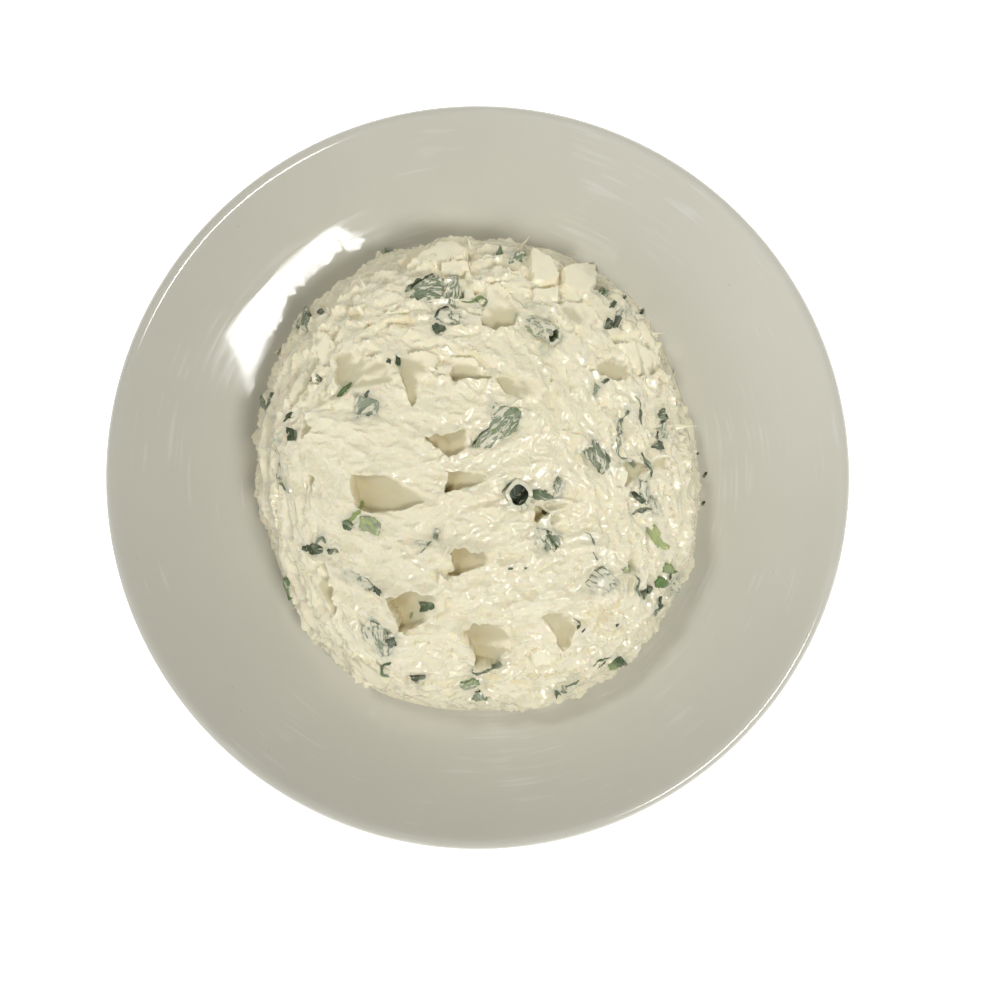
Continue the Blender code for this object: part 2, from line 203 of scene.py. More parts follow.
# A smooth face that a blade or a spoon left: the lip torn up along its deep side, and its
# corners in plan with their height over the dome, in millimetres
Facet = namedtuple("Facet", "lip corners")

FACETS = (
    Facet(0.0, ((-39, 33.4, -1.2), (-34, 34, -0.6), (-26, 32.6, -0.4), (-22.6, 30, -1),
        (-22.2, 26, -0.8), (-30, 22.6, -0.4), (-38, 24, -1), (-39, 28, -1.6))),
    Facet(0.3, ((-34.4, 1, -2), (-25, 0.8, -0.3), (-17, -2, -0.2), (-10.8, -5, 0),
        (-14, -6.6, -0.8), (-20, -9, -1.6), (-29, -10, -3), (-33, -8.5, -4.2), (-34.6, -4, -4))),
    Facet(0.8, ((-8.8, 2.3, -3.2), (-5, 1.9, -1.8), (2, 2, -0.3), (4, 0.6, 0), (2.4, -1, -0.6),
        (-3.4, -3.2, -2.2), (-10.1, -4.6, -3.8), (-8.8, -1, -3.6))),
    Facet(1.2, ((-15.2, 11.7, -2.2), (-9, 12.6, -3), (-3.5, 13.8, -0.6), (-1.5, 9.5, -0.3),
        (-3.2, 7.4, -1.2), (-7.6, 4.9, -2.6), (-9.4, 5.6, -3.2), (-12, 8, -3.2),
        (-14.6, 10.6, -2.6))),
    Facet(1.2, ((-9.4, -19.2, -3.6), (-6, -18.2, -3.2), (-1, -18.8, -2.6), (6, -19.5, 0),
        (6.5, -22, 0), (1.6, -24, -1.2), (-5, -26.8, -3), (-9, -27.4, -4), (-7.8, -25, -4),
        (-7.5, -23, -4), (-8.4, -21, -3.8))),
    Facet(1.0, ((-25.8, -31.4, -3.4), (-20, -30.6, -2), (-14, -31, -1), (-9, -32.4, 0),
        (-8.5, -35.5, 0), (-13, -38.6, -0.8), (-19, -41.5, -2.6), (-22.2, -42, -4.2),
        (-21.9, -39, -4.3), (-23.8, -36, -4.2), (-24.4, -34, -4))),
    Facet(1.0, ((-4.6, -40.8, -3.2), (-1, -39.4, -2.8), (9.6, -40.4, -0.2), (9.2, -47, -0.5),
        (6, -50.4, -1.6), (2.4, -50.8, -2.4), (-1.2, -51.2, -3.6), (-1.4, -48.6, -4),
        (-3, -45.6, -4), (-3.3, -43.4, -3.8))),
    Facet(0.0, ((14.6, -47, 0.6), (18, -46.2, 0.6), (21.2, -48.8, 1.2), (20, -50.6, 0.6),
        (14.6, -51.4, 0.4))),
    Facet(0.8, ((16.2, -37.4, -1.6), (20, -36.9, -2.6), (24, -36.7, -3), (29, -37, -1.4),
        (34, -37.8, -0.4), (27, -39.6, -1), (26, -42, -0.8), (24.2, -45.6, -0.4),
        (21.3, -48.8, -0.8), (21.3, -46, -2.2), (20.6, -43.4, -2.6), (19, -40.4, -2.6))),
    Facet(0.0, ((-43.6, -24, -0.2), (-41.2, -22, -1.2), (-40.4, -26, -2), (-38.5, -33, -2.4),
        (-38.6, -37.4, -2), (-41.6, -35.4, -0.4), (-43.4, -31, 0), (-43.8, -27, 0))),
    Facet(0.3, ((-48, 18.4, -0.4), (-46, 15, -1.8), (-44.4, 13.6, -2.4), (-45.8, 11.4, -2.2),
        (-48.2, 9.6, -1.2), (-49.2, 12, -0.3))),
    Facet(0.3, ((-48, 4.6, -0.6), (-45.8, 1.6, -1.8), (-44.2, 0, -2.2), (-44.4, -2.6, -2.2),
        (-46, -10.4, -0.8), (-47, -4, -0.3), (-47.4, 1, -0.3))),
    Facet(0.3, ((-22.4, 31.5, -2.2), (-20, 33.6, -0.6), (-14, 34.6, 0.2), (-10, 33, 0.2),
        (-12.6, 28, 0), (-15.6, 24.6, -0.2), (-16.6, 20, -0.8), (-17.9, 18.8, -2),
        (-19, 20.6, -2.4), (-19.8, 24.4, -2.6), (-21, 27, -2.6))),
    Facet(0.8, ((-8, 33.6, -0.2), (0, 32.4, 0), (1.6, 28.4, -0.6), (4, 28, -0.8), (3.8, 26.4, -1.8),
        (-3.6, 25.9, -2.4), (-5.2, 25.2, -2.6), (-8.6, 27.2, -2.2), (-7, 29.6, -1.6))),
    Facet(0.5, ((4.4, 27.6, -2.4), (11, 28, -1.2), (17, 26.6, -0.2), (19.4, 24, 0),
        (16, 20.6, -0.2), (9.6, 21.2, -0.6), (7, 23.2, -1.4), (5.2, 25.6, -2.2))),
    Facet(0.4, ((0.7, 41, -2.2), (5, 39.9, -2.6), (10, 41.4, -2.2), (12, 45.6, -1.6),
        (11, 48, -0.8), (7.6, 51.4, 0.6), (5.4, 52.6, 0.9), (2.2, 51.6, 0.4), (2.4, 48, -0.2),
        (0.8, 44.6, -1))),
    Facet(0.0, ((14.8, 51, 0.2), (14.8, 47.8, 0), (22, 48, 0), (22, 51.8, 0.2))),
    Facet(0.0, ((13.8, 60.8, 2.2), (13.4, 58.4, 1.6), (14.2, 54.4, 0.6), (14.8, 52.6, 0.4),
        (18, 52, 0.5), (21.9, 52.4, 0.8), (22.4, 54.4, 1.3), (19.2, 58.4, 1.9), (15, 60.2, 2.2))),
    Facet(0.0, ((22.4, 56.2, 1.6), (27.6, 57.2, 1.9), (31.6, 56.8, 1.7), (32.2, 54, 1.1),
        (32, 52, 0.6), (29.8, 49.6, 0), (26.8, 49.8, 0), (23, 51.8, 0.2))),
    Facet(0.8, ((21.2, 46.6, -0.6), (24, 48.2, -0.6), (29, 47.6, 0), (32.2, 45.4, 0.5),
        (31.8, 42.2, 0.4), (27, 40.2, 0), (24, 42, -1), (23.6, 43.6, -1.2))),
    Facet(0.3, ((32, 32.2, -1.6), (41, 31.6, -1), (42, 30.6, -0.4), (40, 26.4, -1.4),
        (37.6, 25.6, -1.8), (32.6, 28, -1.2), (31.8, 30, -1.2))),
    Facet(0.5, ((37, 36.6, 0.4), (43, 36.4, 0.6), (48.4, 33, 0.2), (48.8, 30, 0),
        (48.4, 27.4, -1.6), (42.8, 27.4, -2.2), (44, 28.8, -1.8), (42, 31, -0.6), (40, 33, 0))),
    Facet(0.3, ((-45.2, 38, 0.2), (-42.6, 40, 0.5), (-40, 39.4, 0.4), (-39, 36, 0), (-40, 33, -0.6),
        (-40.2, 30.2, -1.8), (-43.6, 30.4, -1.8), (-44.2, 33, -0.8))),
    Facet(0.0, ((-48, 24, -0.2), (-44, 24.6, -0.4), (-40, 23.6, -0.6), (-39.6, 19, -0.2),
        (-43, 17.8, -0.2), (-47.4, 19.4, 0))),
    Facet(0.0, ((-20, 58.2, 0.4), (-15, 60.2, 1), (-10, 62.2, 1.6), (-6, 62.6, 1.6),
        (-2.4, 60.4, 1.1), (-4, 58.6, 0.7), (-10, 58, 0.2), (-14, 57.6, 0.2))),
    Facet(0.0, ((-10, 57.6, 0.6), (-6, 58.2, 0.8), (-2.2, 58, 0.8), (-2.2, 56.2, 0.3),
        (-6, 55.6, 0), (-10.2, 56, 0.2))),
    Facet(0.0, ((-3.8, 56, -0.4), (-1.2, 56, -0.4), (-0.6, 50, -1), (-1.4, 48.2, -1),
        (-4, 48, -0.8), (-4.2, 51, -0.6))),
    Facet(0.6, ((39.6, 4.4, -2.2), (42, 4.6, -2.4), (46.6, 3.6, -1.6), (45.6, 1.6, -1.2),
        (41.6, -2, -2), (39.8, -2.8, -3), (40.4, 1, -2.4))),
    Facet(0.3, ((46.6, 6, -0.8), (53, 5.6, -0.4), (53.2, 2.4, -1), (50, 1.5, -1.6),
        (47, 1.8, -1.6))),
    Facet(0.3, ((53, -2, -0.6), (56, -5, -1.4), (55.8, -10, -1.4), (55.4, -16, -1.2),
        (54.2, -16, -0.4), (54, -10, -0.4))),
    Facet(0.4, ((38.4, -24.4, -1.2), (42, -24.6, -1.4), (42.4, -29, -1.6), (42, -33, -1.6),
        (40, -36.2, -1.2), (37.8, -35.8, -0.6), (40, -32, -1.2), (40.6, -28, -1.4))),
    Facet(0.3, ((33, -38.8, -0.6), (38, -40.4, -0.8), (40, -40.6, -0.4), (38, -41.6, 0),
        (33.2, -41, 0))),
    Facet(0.3, ((17.6, -6.4, -1.4), (22, -5.4, -1.2), (27, -5.6, -0.2), (26, -7.6, -0.6),
        (21.6, -8.6, -1.2), (18.4, -8.4, -1.6))),
    Facet(0.4, ((20, -9.8, -1.6), (23, -9.4, -1.4), (25, -10.8, -1), (26.2, -13.2, -0.6),
        (21.6, -13.6, -1.6), (19.4, -12.8, -1.6))),
    Facet(0.4, ((14.4, -8.6, -3), (15.6, -7, -3.4), (19.6, -9.4, -3.5), (18, -11, -3.5),
        (16.6, -12.6, -3), (15.4, -12, -3))),
    Facet(0.4, ((-38.4, -46, -0.8), (-34.6, -46.6, -0.8), (-27, -51, -0.6), (-23.6, -55.8, 0.2),
        (-27.6, -56.4, 0.4), (-34.6, -51, 0.4))),
    Facet(0.5, ((1, -54.8, -0.8), (6, -55.6, -0.8), (12, -56, -0.6), (15.4, -57, 0), (10, -61, 0.3),
        (4.6, -57.6, 0))),
    Facet(0.5, ((-36, 44.6, -1.4), (-33, 45.4, -1.4), (-26, 44.4, -1.4), (-19, 44.8, -1.2),
        (-18, 42.6, -0.2), (-26, 42, -0.2), (-35, 41.8, -0.2))),
)

# A torn edge or a crack, in plan, in millimetres: a positive step raises the cheese on the
# right of its path, and a negative one opens a crack along it
Seam = namedtuple("Seam", "step path")

SEAMS = (
    Seam(-1.6, ((-7, -45.4), (-7.4, -48), (-9.2, -50.4))),
    Seam(1.1, ((-36, 51), (-32, 54.4), (-29, 55.6), (-24.5, 55.2), (-21, 56.6))),
    Seam(0.9, ((-34, 57), (-30, 58.8), (-26, 59.2), (-22, 60.6))),
    Seam(0.9, ((-30, 48.2), (-26, 49.8), (-21, 49.2), (-16, 47.2), (-12, 47))),
    Seam(1.2, ((-33.8, 47.6), (-32.6, 49.6), (-31.6, 51.4))),
    Seam(0.9, ((26, 31.6), (28, 29.6), (31.6, 28.4), (34, 26.4))),
    Seam(0.8, ((12, 34), (16, 32.6), (19, 29), (21, 25.4), (24.5, 22))),
    Seam(0.7, ((20, 33), (23.4, 29), (25, 24.6), (28.4, 20))),
    Seam(0.7, ((8, 19), (14, 17.6), (19, 13.6), (21.6, 9))),
    Seam(0.6, ((22, 14.4), (25.6, 9), (27, 4), (31, -1))),
    Seam(0.7, ((34, 19.4), (35.4, 15), (34.6, 11.6))),
    Seam(0.8, ((-44, -13), (-45.6, -18), (-44.6, -22))),
    Seam(0.7, ((-52, 24), (-51, 16), (-51.6, 9))),
    Seam(0.8, ((-55, 2), (-55.6, -8), (-54, -16), (-52.6, -22))),
    Seam(0.8, ((-30, -50), (-24, -52.6), (-18, -54.8), (-10, -56.4), (-4, -56))),
    Seam(0.8, ((-20, -58), (-12, -60), (-4, -59.4))),
    Seam(0.9, ((10, -53.4), (18, -54.2), (25, -53), (31, -50.4))),
    Seam(0.8, ((14, -59.4), (22, -57.8), (30, -54.4), (36, -50))),
    Seam(0.8, ((46, -24), (46.6, -28), (45, -33))),
    Seam(0.8, ((50.6, 8), (51.4, 0), (50.4, -8), (51.4, -14))),
    Seam(0.8, ((44, 26), (47.4, 20), (48.4, 13))),
    Seam(0.9, ((2, 56.6), (8, 56), (12.6, 57.4))),
    Seam(0.8, ((36, 52), (42, 46.6), (47, 40), (50.6, 33))),
)

# A pulled tip, where the spatula came away: where it leans to, its length and its radius
Tip = namedtuple("Tip", "x y lean length radius")

TIPS = (
    Tip(53.4, 14, 8, 6.0, 1.3),
    Tip(47.0, 39.0, 30, 4.0, 1.2),
    Tip(-54.2, 34.4, 150, 4.0, 1.1),
    Tip(20.8, -47.6, -80, 3.6, 1.3),
    Tip(11.6, 62.4, 70, 4.0, 0.8),
    Tip(33.0, -53.4, -40, 3.5, 1.0),
    Tip(26, 61, 70, 3.0, 0.9),
    Tip(-8, 58.8, 80, 2.6, 0.8),
    Tip(53, 27, 40, 3.0, 0.9),
    Tip(-30.4, 51.2, 120, 3.4, 0.9),
    Tip(-2, 62.4, 95, 2.6, 0.8),
    Tip(-57, 8, 175, 2.2, 0.8),
    Tip(-50, -35, 215, 2.4, 0.8),
)

# A flake of the flat leaf, with its corners in plan, in millimetres. tone goes from dark green,
# 0, to pale yellow-green, 1, and film is how much of it a smear of cheese covers.
# lift is how far it lies above the cheese, and it slants down toward sink, in degrees.
Flake = namedtuple("Flake", "tone film lift sink corners")

FLAKES = (
    Flake(0.15, 0.6, 0.4, 270, ((-19.6, 50), (-12, 54.6), (-8.6, 53), (-10, 48.6), (-13, 47.6),
        (-18, 49))),
    Flake(0.2, 0.7, 0.3, 180, ((-8.4, 54.6), (-4.8, 55.2), (-4.4, 50), (-6.4, 47.6), (-8.6, 48.6))),
    Flake(0.1, 0.75, 0.2, 270, ((-11.4, 43), (-10.4, 45.4), (-7.6, 45.8), (-5, 45.2), (-4.6, 42.4),
        (-8, 41.6))),
    Flake(0.0, 0.15, 0.4, 90, ((-12.4, 41), (-11.8, 42.2), (-9, 41.2), (-8.6, 40), (-11.4, 38.4),
        (-12, 39.6))),
    Flake(0.0, 0.68, 0.3, 270, ((-33, 20), (-32.4, 21.6), (-26.6, 21), (-26.6, 19), (-27.4, 16.6),
        (-29, 16.2), (-33.4, 15.4))),
    Flake(0.44, 0.62, 0.3, 150, ((-1.5, 8.4), (0.4, 11.4), (3, 13.3), (3.6, 17), (4, 21.2),
        (6, 19.6), (10, 19), (12, 17.5), (10, 13), (8, 11.2), (5, 10.2), (3.2, 7.4), (1.4, 7.2))),
    Flake(0.0, 0.6, 0.5, 20, ((28.2, 7), (30, 7.4), (31, 10.6), (32.4, 9.6), (37.8, 4.4), (38, 3.4),
        (34.8, 0), (32, 3))),
    Flake(0.1, 0.3, 0.6, 90, ((14.8, -3.4), (18, -3), (20.8, -5.6), (18, -6.2), (15, -5.8))),
    Flake(0.1, 0.7, 0.7, 180, ((21.6, 0.8), (23, -0.8), (22.6, -4.4), (20.4, -5.6), (20.6, -1.4))),
    Flake(0.0, 0.0, 0.5, 90, ((17.8, -9), (19.8, -9.2), (19.6, -10.8), (18.2, -10.4))),
    Flake(0.3, 0.95, 0.3, 180, ((15.4, -13.6), (18.6, -14), (18.8, -20), (16.4, -19.4), (15, -17))),
    Flake(0.05, 0.55, 0.5, 0, ((18.4, -14.2), (21.8, -15), (22.6, -18), (20.6, -20.4),
        (18.4, -20))),
    Flake(0.1, 0.6, 0.3, 0, ((-12.6, -16.6), (-11.4, -13.8), (-10.2, -14.2), (-11, -16.8))),
    Flake(0.1, 0.9, 0.1, 0, ((-17.4, -17), (-14, -17.2), (-13.8, -18.6), (-17, -18.4))),
    Flake(0.0, 0.0, 0.4, 0, ((-51.2, 10), (-51, 13.4), (-49.8, 13.2), (-49.8, 10.2))),
    Flake(0.15, 0.2, 0.4, 0, ((-36.4, -11.8), (-35, -11.2), (-33.6, -12.6), (-34.4, -14.4),
        (-36, -14))),
    Flake(0.95, 0.5, 0.3, 270, ((-32.6, -10.6), (-29, -10.6), (-26.4, -12.6), (-27, -16),
        (-30, -15.4), (-33, -13.4))),
    Flake(0.0, 0.1, 0.5, 0, ((-47, -18.1), (-44, -17.9), (-42.2, -19), (-42.4, -20.8), (-44, -20.6),
        (-46.4, -19))),
    Flake(0.0, 0.3, 0.4, 0, ((-40.6, -19.2), (-38, -19.4), (-38.2, -20.9), (-40.4, -20.8))),
    Flake(0.1, 0.4, 0.3, 0, ((-58.2, 24), (-57, 24.6), (-57.6, 17), (-59.4, 17.4))),
    Flake(0.2, 0.8, 0.3, 200, ((-31, -40), (-28, -38), (-24, -41), (-21.6, -44), (-23, -47),
        (-26, -48), (-29, -45), (-31, -43))),
    Flake(0.0, 0.1, 0.8, 0, ((-24.2, -42.2), (-22, -42), (-21.4, -44.4), (-23, -45.2),
        (-24.2, -44.4))),
    Flake(0.0, 0.35, 0.4, 270, ((-18.4, -53), (-14.4, -53.2), (-14.2, -54.6), (-18.2, -54.6))),
    Flake(0.55, 0.5, 0.4, 270, ((-4.8, -56), (-1, -55.2), (1.2, -56.4), (-1, -58.2), (-4, -58))),
    Flake(0.1, 0.1, 0.4, 0, ((-16, -34), (-12, -34), (-11.8, -35.6), (-16, -37))),
    Flake(0.1, 0.85, 0.25, 120, ((-38.8, -25), (-38, -23.6), (-30, -27.4), (-28, -29.6),
        (-29, -30.6), (-34, -28))),
    Flake(0.0, 0.0, 0.5, 120, ((-28.2, -28.8), (-25.6, -30.2), (-25.8, -31.2), (-28.2, -30.6))),
    Flake(0.25, 0.1, 0.3, 300, ((-38.6, 22.2), (-36.2, 25), (-34, 26.4), (-35.2, 23.8),
        (-37.4, 22))),
    Flake(0.0, 0.0, 0.3, 0, ((-46.6, 26.8), (-45.2, 28), (-44.6, 27.2), (-46, 26.4))),
    Flake(0.1, 0.2, 0.3, 0, ((-44, 26.4), (-43.4, 28), (-42.8, 27.4), (-43.2, 26.4))),
    Flake(0.0, 0.0, 0.4, 0, ((-22.2, 30.4), (-21.8, 32.6), (-20.8, 32.2), (-21, 30.4))),
    Flake(0.0, 0.0, 0.4, 0, ((-24.6, 30.8), (-23.8, 31.8), (-23, 31.4), (-23.2, 30.4))),
    Flake(0.1, 0.6, 0.4, 300, ((-49.2, 40.4), (-48, 44), (-45, 45.8), (-45.4, 42), (-47, 40))),
    Flake(0.0, 0.1, 0.4, 300, ((-43.4, 44.4), (-42.2, 46), (-41.4, 45), (-42.4, 44))),
    Flake(0.2, 0.2, 0.5, 270, ((5, 61.4), (6, 62.8), (6.8, 61.6), (6, 60.8))),
    Flake(0.3, 0.6, 0.4, 270, ((8, 58), (9.6, 60.4), (13, 61), (12.4, 58.6))),
    Flake(0.1, 0.5, 0.4, 0, ((31, 22.2), (32, 25.4), (33.2, 24.6), (32.8, 22.4))),
    Flake(0.0, 0.2, 0.3, 0, ((33.2, 25.8), (34.8, 26.8), (35.2, 26), (34.2, 25.2))),
    Flake(0.1, 0.85, 0.3, 240, ((37, 42), (38, 45.4), (41, 45.6), (40.8, 42.4))),
    Flake(0.0, 0.0, 0.5, 240, ((35.8, 46.4), (36.6, 47.8), (37.6, 47.2), (37, 46.2))),
    Flake(0.0, 0.1, 0.5, 240, ((38, 47.6), (39.4, 49), (40, 48), (39, 47.4))),
    Flake(0.0, 0.1, 0.6, 240, ((36.8, 41), (37.4, 44.2), (38.8, 43), (38.2, 40.8))),
    Flake(0.0, 0.2, 0.4, 240, ((34.8, 41), (35.4, 43.6), (36.6, 42.6), (36.4, 40.6))),
    Flake(0.0, 0.2, 0.5, 240, ((42.6, 43.4), (43.4, 45.4), (44.6, 44.6), (43.8, 43.2))),
    Flake(0.0, 0.1, 0.6, 0, ((42.4, -4.4), (43.4, -3.6), (45.8, -6.2), (45, -7.2))),
    Flake(0.1, 0.8, 0.4, 0, ((44, -0.8), (46.4, -1.2), (47.2, -5), (46, -8), (44.6, -5.4))),
    Flake(0.1, 0.95, 0.3, 0, ((47, -4.8), (50.6, -6), (50.4, -10), (47.6, -9.4))),
    Flake(0.8, 0.1, 0.3, 0, ((45.8, -14), (49.6, -13.2), (53, -19), (51.6, -20.2), (49.6, -19.6),
        (47.6, -17))),
    Flake(0.05, 0.9, 0.35, 270, ((34, -24), (36.8, -26.4), (39.6, -30.2), (34, -30.8), (28, -30.2),
        (31, -27))),
    Flake(0.8, 0.4, 0.3, 90, ((39.4, -24), (42.2, -24.4), (41.8, -26.2), (39.8, -26))),
    Flake(0.6, 0.1, 0.5, 180, ((50.4, -23.2), (53, -23.6), (52.8, -26.2), (50.6, -25.8))),
    Flake(0.4, 0.05, 0.8, 180, ((47.8, -28.2), (49, -26.8), (51.4, -27.2), (51.8, -29), (49.6, -30),
        (48, -29.6))),
    Flake(0.5, 0.85, 0.5, 180, ((51.8, -25.2), (54.6, -24.8), (55.6, -29), (53.6, -32.2),
        (51.6, -31), (52, -28))),
    Flake(0.0, 0.0, 0.5, 0, ((43.8, -30.6), (46.4, -30.2), (47.4, -32), (45, -33))),
    Flake(0.0, 0.2, 0.6, 0, ((46.4, -29.6), (47.8, -29.8), (47.6, -32), (46.6, -31.8))),
    Flake(0.0, 0.0, 0.6, 0, ((48.6, -32), (50, -32.2), (50.2, -34.2), (48.8, -34))),
    Flake(0.6, 0.3, 0.5, 270, ((34.6, -50), (38, -49.4), (38.8, -51.4), (35.6, -52.2))),
    Flake(0.1, 0.1, 0.9, 200, ((36, -48.4), (38.4, -47.6), (40.8, -49), (40, -51), (37, -50.4))),
    Flake(0.1, 0.2, 0.5, 90, ((20.6, -57.6), (22.2, -57.6), (22.2, -59), (20.8, -59))),
    Flake(0.2, 0.2, 0.2, 0, ((8.2, -24.2), (9.6, -24.3), (9.5, -24.9), (8.2, -24.9))),
    Flake(0.1, 0.1, 0.2, 0, ((12.6, -24), (13.4, -24.1), (13.3, -24.8), (12.6, -24.8))),
    Flake(0.0, 0.0, 0.3, 0, ((37.4, -39.6), (38.3, -39.6), (38.3, -40.5), (37.5, -40.5))),
    Flake(0.1, 0.9, 0.6, 0, ((48.8, 10.6), (48.8, 14.6), (51.6, 15.2), (52.2, 11))),
    Flake(0.0, 0.1, 0.7, 0, ((47.6, 8.6), (49, 10.2), (51, 9.8), (50.6, 7.8), (48.6, 7.6))),
)

# A ring or tube of the stalk, with its closed end in the cheese. Its open end points along
# heading, and tilt raises it: 90 turns it to the eye.
Tube = namedtuple("Tube", "x y heading length width tilt lift tone film")

TUBES = (
    Tube(16.2, 41.0, -50, 13, 5.0, 34, -0.4, 0.8, 0.82),
    Tube(10.9, -4.6, 0, 5.0, 6.8, 88, -1.6, 0.1, 1.1),
    Tube(-24.4, 60.6, 90, 2.8, 3.8, 50, 0.3, 0.3, 0.3),
    Tube(0.6, -60.0, -90, 2.4, 4.0, 50, 0.2, 0.3, 0.5),
    Tube(48.4, -35.6, -35, 2.6, 3.6, 55, 0.2, 0.05, 0.4),
    Tube(50.4, 17.1, 20, 2.4, 3.2, 60, 0.2, 0.05, 0.4),
    Tube(34.4, 50.6, 55, 2.2, 2.6, 60, 0.2, 0.1, 0.5),
    Tube(-51.6, -30.2, -115, 5.4, 3.6, 10, 0.2, 0.35, 0.35),
)

# A leaf's edge that shows as a thin line in the cheese, through these places
Ribbon = namedtuple("Ribbon", "width tone film path")

RIBBONS = (
    Ribbon(1.4, 0.0, 0.5, ((40.6, 18), (38.4, 15), (37.8, 13), (38.6, 12), (37.4, 11), (38, 9),
        (37.4, 7), (38.4, 5.4), (42.4, 4.6))),
    Ribbon(1.3, 0.0, 0.4, ((41.6, 4.8), (41.8, 2.6))),
    Ribbon(1.5, 0.0, 0.5, ((44, 6.6), (45.4, 4.4), (46.8, 2), (46.8, 0.2))),
    Ribbon(1.3, 0.0, 0.5, ((42.6, 22), (43.8, 20), (43.6, 16), (44, 14.6))),
    Ribbon(1.4, 0.0, 0.4, ((41.6, -9.8), (45, -8.4), (47.4, -8.8))),
    Ribbon(0.7, 0.0, 0.2, ((28.6, -14.4), (30.4, -15.6), (31.4, -18))),
    Ribbon(0.8, 0.0, 0.2, ((31, -20), (32.4, -22))),
    Ribbon(0.8, 0.1, 0.3, ((42.4, -26), (43.4, -27.8), (42.8, -30), (43.6, -32))),
    Ribbon(0.7, 0.0, 0.0, ((25.8, -37.8), (28, -39.6), (27, -40.8))),
    Ribbon(0.6, 0.0, 0.0, ((28, -41.8), (29, -40.6))),
    Ribbon(0.7, 0.1, 0.3, ((31, -50.8), (33, -48.8), (35.6, -48.2))),
    Ribbon(0.6, 0.1, 0.3, ((32.4, -50.8), (34.6, -49.4))),
    Ribbon(0.8, 0.1, 0.2, ((27.4, -54.6), (24, -56.2), (22.2, -57.4), (24, -57.6))),
    Ribbon(1.1, 0.1, 0.3, ((6.4, -50.4), (2, -52), (0, -53), (-1.4, -52.6))),
    Ribbon(1.9, 0.6, 0.1, ((-31.2, -6), (-32, -9.4), (-34.4, -11.6), (-35.6, -13.6))),
    Ribbon(0.8, 0.1, 0.3, ((-15.4, -20.2), (-12.4, -17.2))),
    Ribbon(1.0, 0.1, 0.5, ((-43.6, -17.4), (-42, -15.8), (-40.8, -17.6))),
    Ribbon(1.2, 0.0, 0.8, ((-54.6, 11), (-54.6, 8), (-53.4, 6), (-53.6, 2), (-53.4, -1), (-52, -3),
        (-50, -4.6))),
    Ribbon(0.7, 0.0, 0.0, ((-50, 17.6), (-52, 15))),
    Ribbon(1.1, 0.2, 0.3, ((-23.6, -49.6), (-25.6, -50.4), (-26, -52.4), (-24, -53.6))),
    Ribbon(0.5, 0.5, 0.0, ((-17.6, -36), (-18.2, -38))),
    Ribbon(0.8, 0.0, 0.2, ((-30.6, 21), (-29.2, 23.4))),
    Ribbon(0.7, 0.1, 0.1, ((-1.5, 8.4), (0.4, 11.4), (3, 13.3))),
    Ribbon(1.0, 0.0, 0.2, ((-19.6, 50), (-16, 52.6), (-12, 54.6))),
    Ribbon(1.0, 0.0, 0.2, ((-11.4, 43), (-10.4, 45.4), (-7.6, 45.8))),
    Ribbon(0.7, 0.5, 0.3, ((-4.4, 47.4), (-1, 47.2), (0.4, 48.6), (2.6, 47.8), (1.4, 46))),
    Ribbon(0.6, 0.1, 0.1, ((6.8, -4.2), (7.4, -2.4), (9.2, -1.2))),
)

# A scrap of leaf on the plate beside the mound: its place in plan, the way it lies in degrees,
# its length and its width in millimetres
Crumb = namedtuple("Crumb", "x y heading length width")

CRUMBS = (
    Crumb(59.1, 6.5, 0, 0.9, 0.8),
    Crumb(61.2, 0.8, 60, 1.8, 0.7),
    Crumb(60.7, -6.9, 60, 1.4, 0.7),
)

# The broad lumps and the long ridges on them, and the radius in millimetres at which the ridges
# run round the mound
LUMPS_RADIUS = 64
LUMPS_WIDTH = 26 * MM
LUMPS_HEIGHT = 1.6
RIDGES_LENGTH, RIDGES_WIDTH, RIDGES_HEIGHT = 13, 5, 1.1

# The rings that close the mound below, and their gap over the plate
UNDERSIDE_RADII = (58 * MM, 50 * MM, 42 * MM)
UNDERSIDE_GAP = 0.02 * MM

# The coarse and the fine waves of a torn line, and how far they take a facet's edge and a seam
# off their paths, in millimetres
RAGGED_SIZES = (2.6, 0.9)
FACET_RAGGED = (0.35, 0.14)
SEAM_RAGGED = (0.7, 0.25)

# How flat a facet's face stays, as a bigger number lets it bend less; its waves, with their
# height, length and width in millimetres and where they start; and how deep it is hollowed and
# over what distance from its edge
FACET_STIFFNESS = 12
FACET_WAVES = ((0.06, 6, 1.1, 3.0), (0.4, 7, 7, 6.0))
FACET_HOLLOW, HOLLOW_REACH = 0.7, 2.5

# The width over which a facet's edge goes over into the rest, in millimetres: at a step, how
# much more where there is none, and the step from which on it is sharp
EDGE_WIDTH, EDGE_FADE, EDGE_STEP = 0.45, 2.4, 0.9

# The steps in millimetres between which a face sinks below the rest and takes on painted shade, and
# how far below the rest the painted tan shade of a cut begins and then how far down it is at full
# strength
SUNK_STEPS = (0.5, -0.8)
DEEP_SHADE_FROM, DEEP_SHADE_RANGE = 0.8, 4.2

# The lip torn up along a facet: how high, how far over and how wide it stands, how far out its
# crest lies and the step that raises it in full, in millimetres
LIP_RISE = 2.1
LIP_LEAN = 1.3
LIP_REACH = 1.25
LIP_CREST = 0.4
LIP_STEP = 2.5

# Torn edges: how far one leans over for each millimetre that it rises, over what length its ends
# run out, how far its step reaches, how much of it is cut away under the edge and how far; and
# how wide a crack opens
SEAM_LEAN = 0.6
SEAM_ENDS = 3.5
SEAM_REACH = 1.6
SEAM_UNDERCUT, UNDERCUT_REACH = 0.5, 0.8
CRACK_WIDTH = 0.45

# An edge sharper than this, in degrees, stays crisp
CREASE = 50
CHEESE_CREASE = 58

